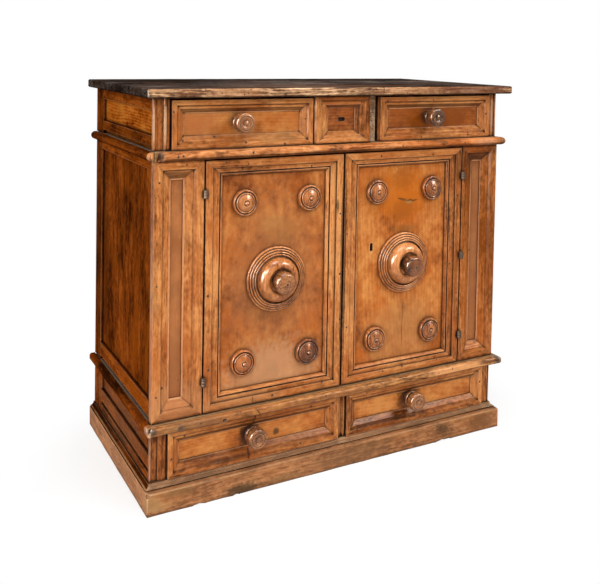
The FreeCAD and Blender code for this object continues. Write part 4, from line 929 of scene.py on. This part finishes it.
def worn(node, finish, bevel_mm, press_mm, spacing, along=None):
    """Replace a node by a worn copy of it in the given finish."""
    mesh = welded_solids(nodes[node].data)
    if bevel_mm:
        bmesh.ops.dissolve_limit(mesh, angle_limit=FLAT_ANGLE, verts=mesh.verts, edges=mesh.edges)
    for axis, point, normal in BREAKS.get(node, ()):
        break_off(mesh, axis, point, normal)
    if spacing:
        cut_across(mesh, spacing)
    if node in BITES:
        mesh = knock_out(mesh, BITES[node])
    mesh.normal_update()
    for vertex in mesh.verts:
        depth = 0.5 + 0.5 * noise.noise(vertex.co * PRESS_WAVES)
        vertex.co -= vertex.normal * depth * press_mm * MM
    weight = mesh.edges.layers.float.new("bevel_weight_edge")
    for edge in mesh.edges:
        if is_arris(edge) and edge.calc_length() > LONG_ENOUGH:
            middle = (edge.verts[0].co + edge.verts[1].co) / 2
            edge[weight] = MIDDLE_WEIGHT + WEIGHT_SWAY * noise.noise(middle * ROUNDING_WAVES)
    mark_grain(mesh, node, along, SHADES.get(node))
    data = as_mesh(f"{node}_welded", mesh)
    data.shade_smooth()
    data.set_sharp_from_angle(angle=BOARD_SHARP if bevel_mm else LATHE_SHARP)
    if bevel_mm:
        data = bevelled(data, bevel_mm)
    add_piece(f"{node}_worn", data, node, finish)


# %% [markdown]
# Each node is named once, under its finish. Wide bevels go to what feet and brooms reach, fine ones to the
# mouldings, whose profiles would melt.

# %% Every board in its finish
DRAWERS = ("upper_left", "upper_right", "lower_left", "lower_right")
BOARDS = {
    "panel": ["left_door_panel", "right_door_panel", "pilaster_boards", "lock_panel"]
    + [f"{drawer}_drawer_front" for drawer in DRAWERS],
    "waist": ["waist_moulding"],
    "strip": ["frieze_dividers"],
    "moulding": ["left_pilaster_moulding", "right_pilaster_moulding",
                 "left_door_moulding", "right_door_moulding", "lock_panel_moulding", "frieze_stiles",
                 "low_stiles", "low_post"] + [f"{drawer}_drawer_moulding" for drawer in DRAWERS],
    "ledge": ["lower_moulding"],
    "side": ["low_sides", "main_sides", "left_side_frame", "right_side_frame"],
    "frieze_side": ["frieze_sides"],
    "top": ["top_board"],
    "plinth": ["plinth_front", "plinth_sides", "plinth_back"],
    "cove": ["plinth_cove"],
    "inside": ["base_board", "floor_board", "waist_board", "back_boards", "shelf", "shelf_cleats"]
    + [f"{drawer}_drawer_box" for drawer in DRAWERS],
    "iron": ["fixed_hinges", "left_door_hinges", "right_door_hinges", "frieze_lock_case", "frieze_lock_bolt",
             "right_door_lock_case", "right_door_lock_bolt"],
}
# Bevel width and depth of the pressing in millimetres, and spacing of the cuts in metres, for each finish
WEAR = {"panel": (0.8, 0.0, 0), "moulding": (0.8, 0.7, 0.04), "waist": (0.8, 1.4, 0.025),
        "strip": (0.8, 0.7, 0.04), "ledge": (1.5, 1.6, 0.03), "side": (1.2, 0.4, 0.06),
        "frieze_side": (1.2, 0.4, 0.06), "top": (1.8, 1.2, 0.04), "plinth": (3.0, 2.0, 0.04),
        "cove": (0.8, 0.6, 0.04), "inside": (1.0, 0.3, 0.1), "iron": (0.3, 0.05, 0)}
for finish, members in BOARDS.items():
    for node in members:
        worn(node, finish, *WEAR[finish])

# %% [markdown]
# ## Turned work
# Bosses and rosettes were turned with the grain of their blank lying flat on the door, the knobs from
# a stick, so their faces show end grain. The lathe left crisp lines, so these pieces have no bevel and no
# cuts, and only the sharpest of their edges break the smooth shading.

# %% Bosses, rosettes and knobs
NO_BEVEL, NO_CUTS = 0, 0
BOSS_PRESS_MM, DOOR_KNOB_PRESS_MM, DRAWER_KNOB_PRESS_MM = 0.1, 0.3, 0.2
for side in ("left", "right"):
    worn(f"{side}_door_boss", "turned", NO_BEVEL, BOSS_PRESS_MM, NO_CUTS, along=Z_AXIS)
    worn(f"{side}_door_rosettes", "turned", NO_BEVEL, BOSS_PRESS_MM, NO_CUTS, along=Z_AXIS)
    worn(f"{side}_door_knob", "knob", NO_BEVEL, DOOR_KNOB_PRESS_MM, NO_CUTS, along=Y_AXIS)
for drawer in DRAWERS:
    worn(f"{drawer}_drawer_knob", "knob", NO_BEVEL, DRAWER_KNOB_PRESS_MM, NO_CUTS, along=Y_AXIS)

# %% [markdown]
# ## Nails
# The mouldings are held by forged nails, whose small black heads show all over the front. A Geometry
# Nodes tree sets one flattened dome on every point that it is given, turned along the surface and each
# a little different in size. Rays sent at the front find the points, so each head sits on the wood, and
# the heads of one door or drawer become one mesh that moves with it.

# %% Node tree for nail heads
nail_tree = bpy.data.node_groups.new("nail_heads", "GeometryNodeTree")
for name, kind in (("Points", "NodeSocketGeometry"), ("Head Radius", "NodeSocketFloat"),
                   ("Head Rise", "NodeSocketFloat"), ("Seed", "NodeSocketInt"),
                   ("Finish", "NodeSocketMaterial")):
    nail_tree.interface.new_socket(name, in_out="INPUT", socket_type=kind)
nail_tree.interface.new_socket("Nails", in_out="OUTPUT", socket_type="NodeSocketGeometry")
given = add_node(nail_tree, "NodeGroupInput").outputs
dome = add_node(nail_tree, "GeometryNodeMeshUVSphere", {"Segments": 10, "Rings": 6, "Radius": 1.0})
size = add_node(nail_tree, "ShaderNodeCombineXYZ",
                {0: given["Head Radius"], 1: given["Head Radius"], 2: given["Head Rise"]})
head = add_node(nail_tree, "GeometryNodeTransform",
                {"Geometry": dome.outputs["Mesh"], "Scale": size.outputs[0]})
facing = add_node(nail_tree, "GeometryNodeInputNamedAttribute", {"Name": "facing"}, data_type="FLOAT_VECTOR")
turn = add_node(nail_tree, "FunctionNodeAlignRotationToVector", {"Vector": facing.outputs["Attribute"]},
                axis="Z")
# A Random Value node has sockets for every type of data; these are the places of the ones for numbers
FLOAT_LOW, FLOAT_HIGH, SEED, FLOAT_VALUE = 2, 3, 8, 1
SMALLEST, LARGEST = 0.7, 1.3
grow = add_node(nail_tree, "FunctionNodeRandomValue",
                {FLOAT_LOW: SMALLEST, FLOAT_HIGH: LARGEST, SEED: given["Seed"]})
heads = add_node(nail_tree, "GeometryNodeInstanceOnPoints",
                 {"Points": given["Points"], "Instance": head.outputs[0], "Rotation": turn.outputs[0],
                  "Scale": grow.outputs[FLOAT_VALUE]})
real = add_node(nail_tree, "GeometryNodeRealizeInstances", {"Geometry": heads.outputs[0]})
black = add_node(nail_tree, "GeometryNodeSetMaterial",
                 {"Geometry": real.outputs[0], "Material": given["Finish"]})
add_node(nail_tree, "NodeGroupOutput", {"Nails": black.outputs[0]})
print("nail tree", len(nail_tree.nodes), "nodes")

# %% Nails on the front
# X and Z in millimetres, as seen from the front
NAILS = {
    "carcass": [(-485, 878), (-472, 879), (-284, 880), (-43, 877), (180, 878), (402, 878), (-456, 855),
                (-526, 814), (-512, 303), (-529, 285), (-530, 560), (458, 547), (524, 557), (531, 517),
                (520, 700), (436, 300), (-69, 906), (53, 1002), (60, 910), (-75, 998), (-420, 210),
                (-60, 212), (120, 212), (370, 212)],
    "left_door": [(-350, 855), (-304, 835), (-289, 849), (-101, 833), (-11, 698), (-9, 532), (-6, 406),
                  (-396, 520), (-392, 330), (-210, 232), (-60, 240)],
    "right_door": [(397, 429), (374, 517), (392, 720), (12, 640), (16, 380), (120, 850), (300, 846),
                   (140, 236), (206, 240), (330, 238)],
    "upper_left_drawer": [(-491, 986), (-464, 914), (-378, 920), (-295, 904), (-183, 896), (-459, 968),
                          (-120, 960)],
    "upper_right_drawer": [(140, 1004), (300, 1006), (498, 960), (260, 898), (430, 900)],
    "lower_left_drawer": [(-450, 170), (-360, 84), (-120, 82), (-486, 120), (-90, 178)],
    "lower_right_drawer": [(60, 82), (330, 84), (430, 80), (500, 140), (90, 180)],
}
HEAD_RADIUS, HEAD_RISE = 2.6 * MM, 0.8 * MM
START_Y = -0.6


def points_on_front(body, places):
    """A mesh of points where rays from the front first meet a body, each with the way the surface faces."""
    corners, faces = [], []
    for piece in dressed[body]:
        first = len(corners)
        corners += [vertex.co.copy() for vertex in piece.data.vertices]
        faces += [[first + index for index in face.vertices] for face in piece.data.polygons]
    surface = BVHTree.FromPolygons(corners, faces)
    hits = [surface.ray_cast(Vector((x * MM, START_Y, z * MM)), Vector((0, 1, 0))) for x, z in places]
    points = bpy.data.meshes.new(f"{body}_nail_points")
    points.from_pydata([hit[0] for hit in hits], [], [])
    ways = points.attributes.new("facing", "FLOAT_VECTOR", "POINT")
    for number, hit in enumerate(hits):
        ways.data[number].vector = hit[1]
    return points


sockets = {item.name: item.identifier for item in nail_tree.interface.items_tree if item.in_out == "INPUT"}
for number, (body, places) in enumerate(NAILS.items()):
    source = add_object(f"{body}_nail_points", points_on_front(body, places))
    hammer = source.modifiers.new("nail_heads", "NODES")
    hammer.node_group = nail_tree
    for name, value in (("Head Radius", HEAD_RADIUS), ("Head Rise", HEAD_RISE), ("Seed", number),
                        ("Finish", FINISHES["iron"])):
        hammer[sockets[name]] = value
    nails = add_object(f"{body}_nails", baked(source))
    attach(nails, body)
print("nails", sum(len(places) for places in NAILS.values()))
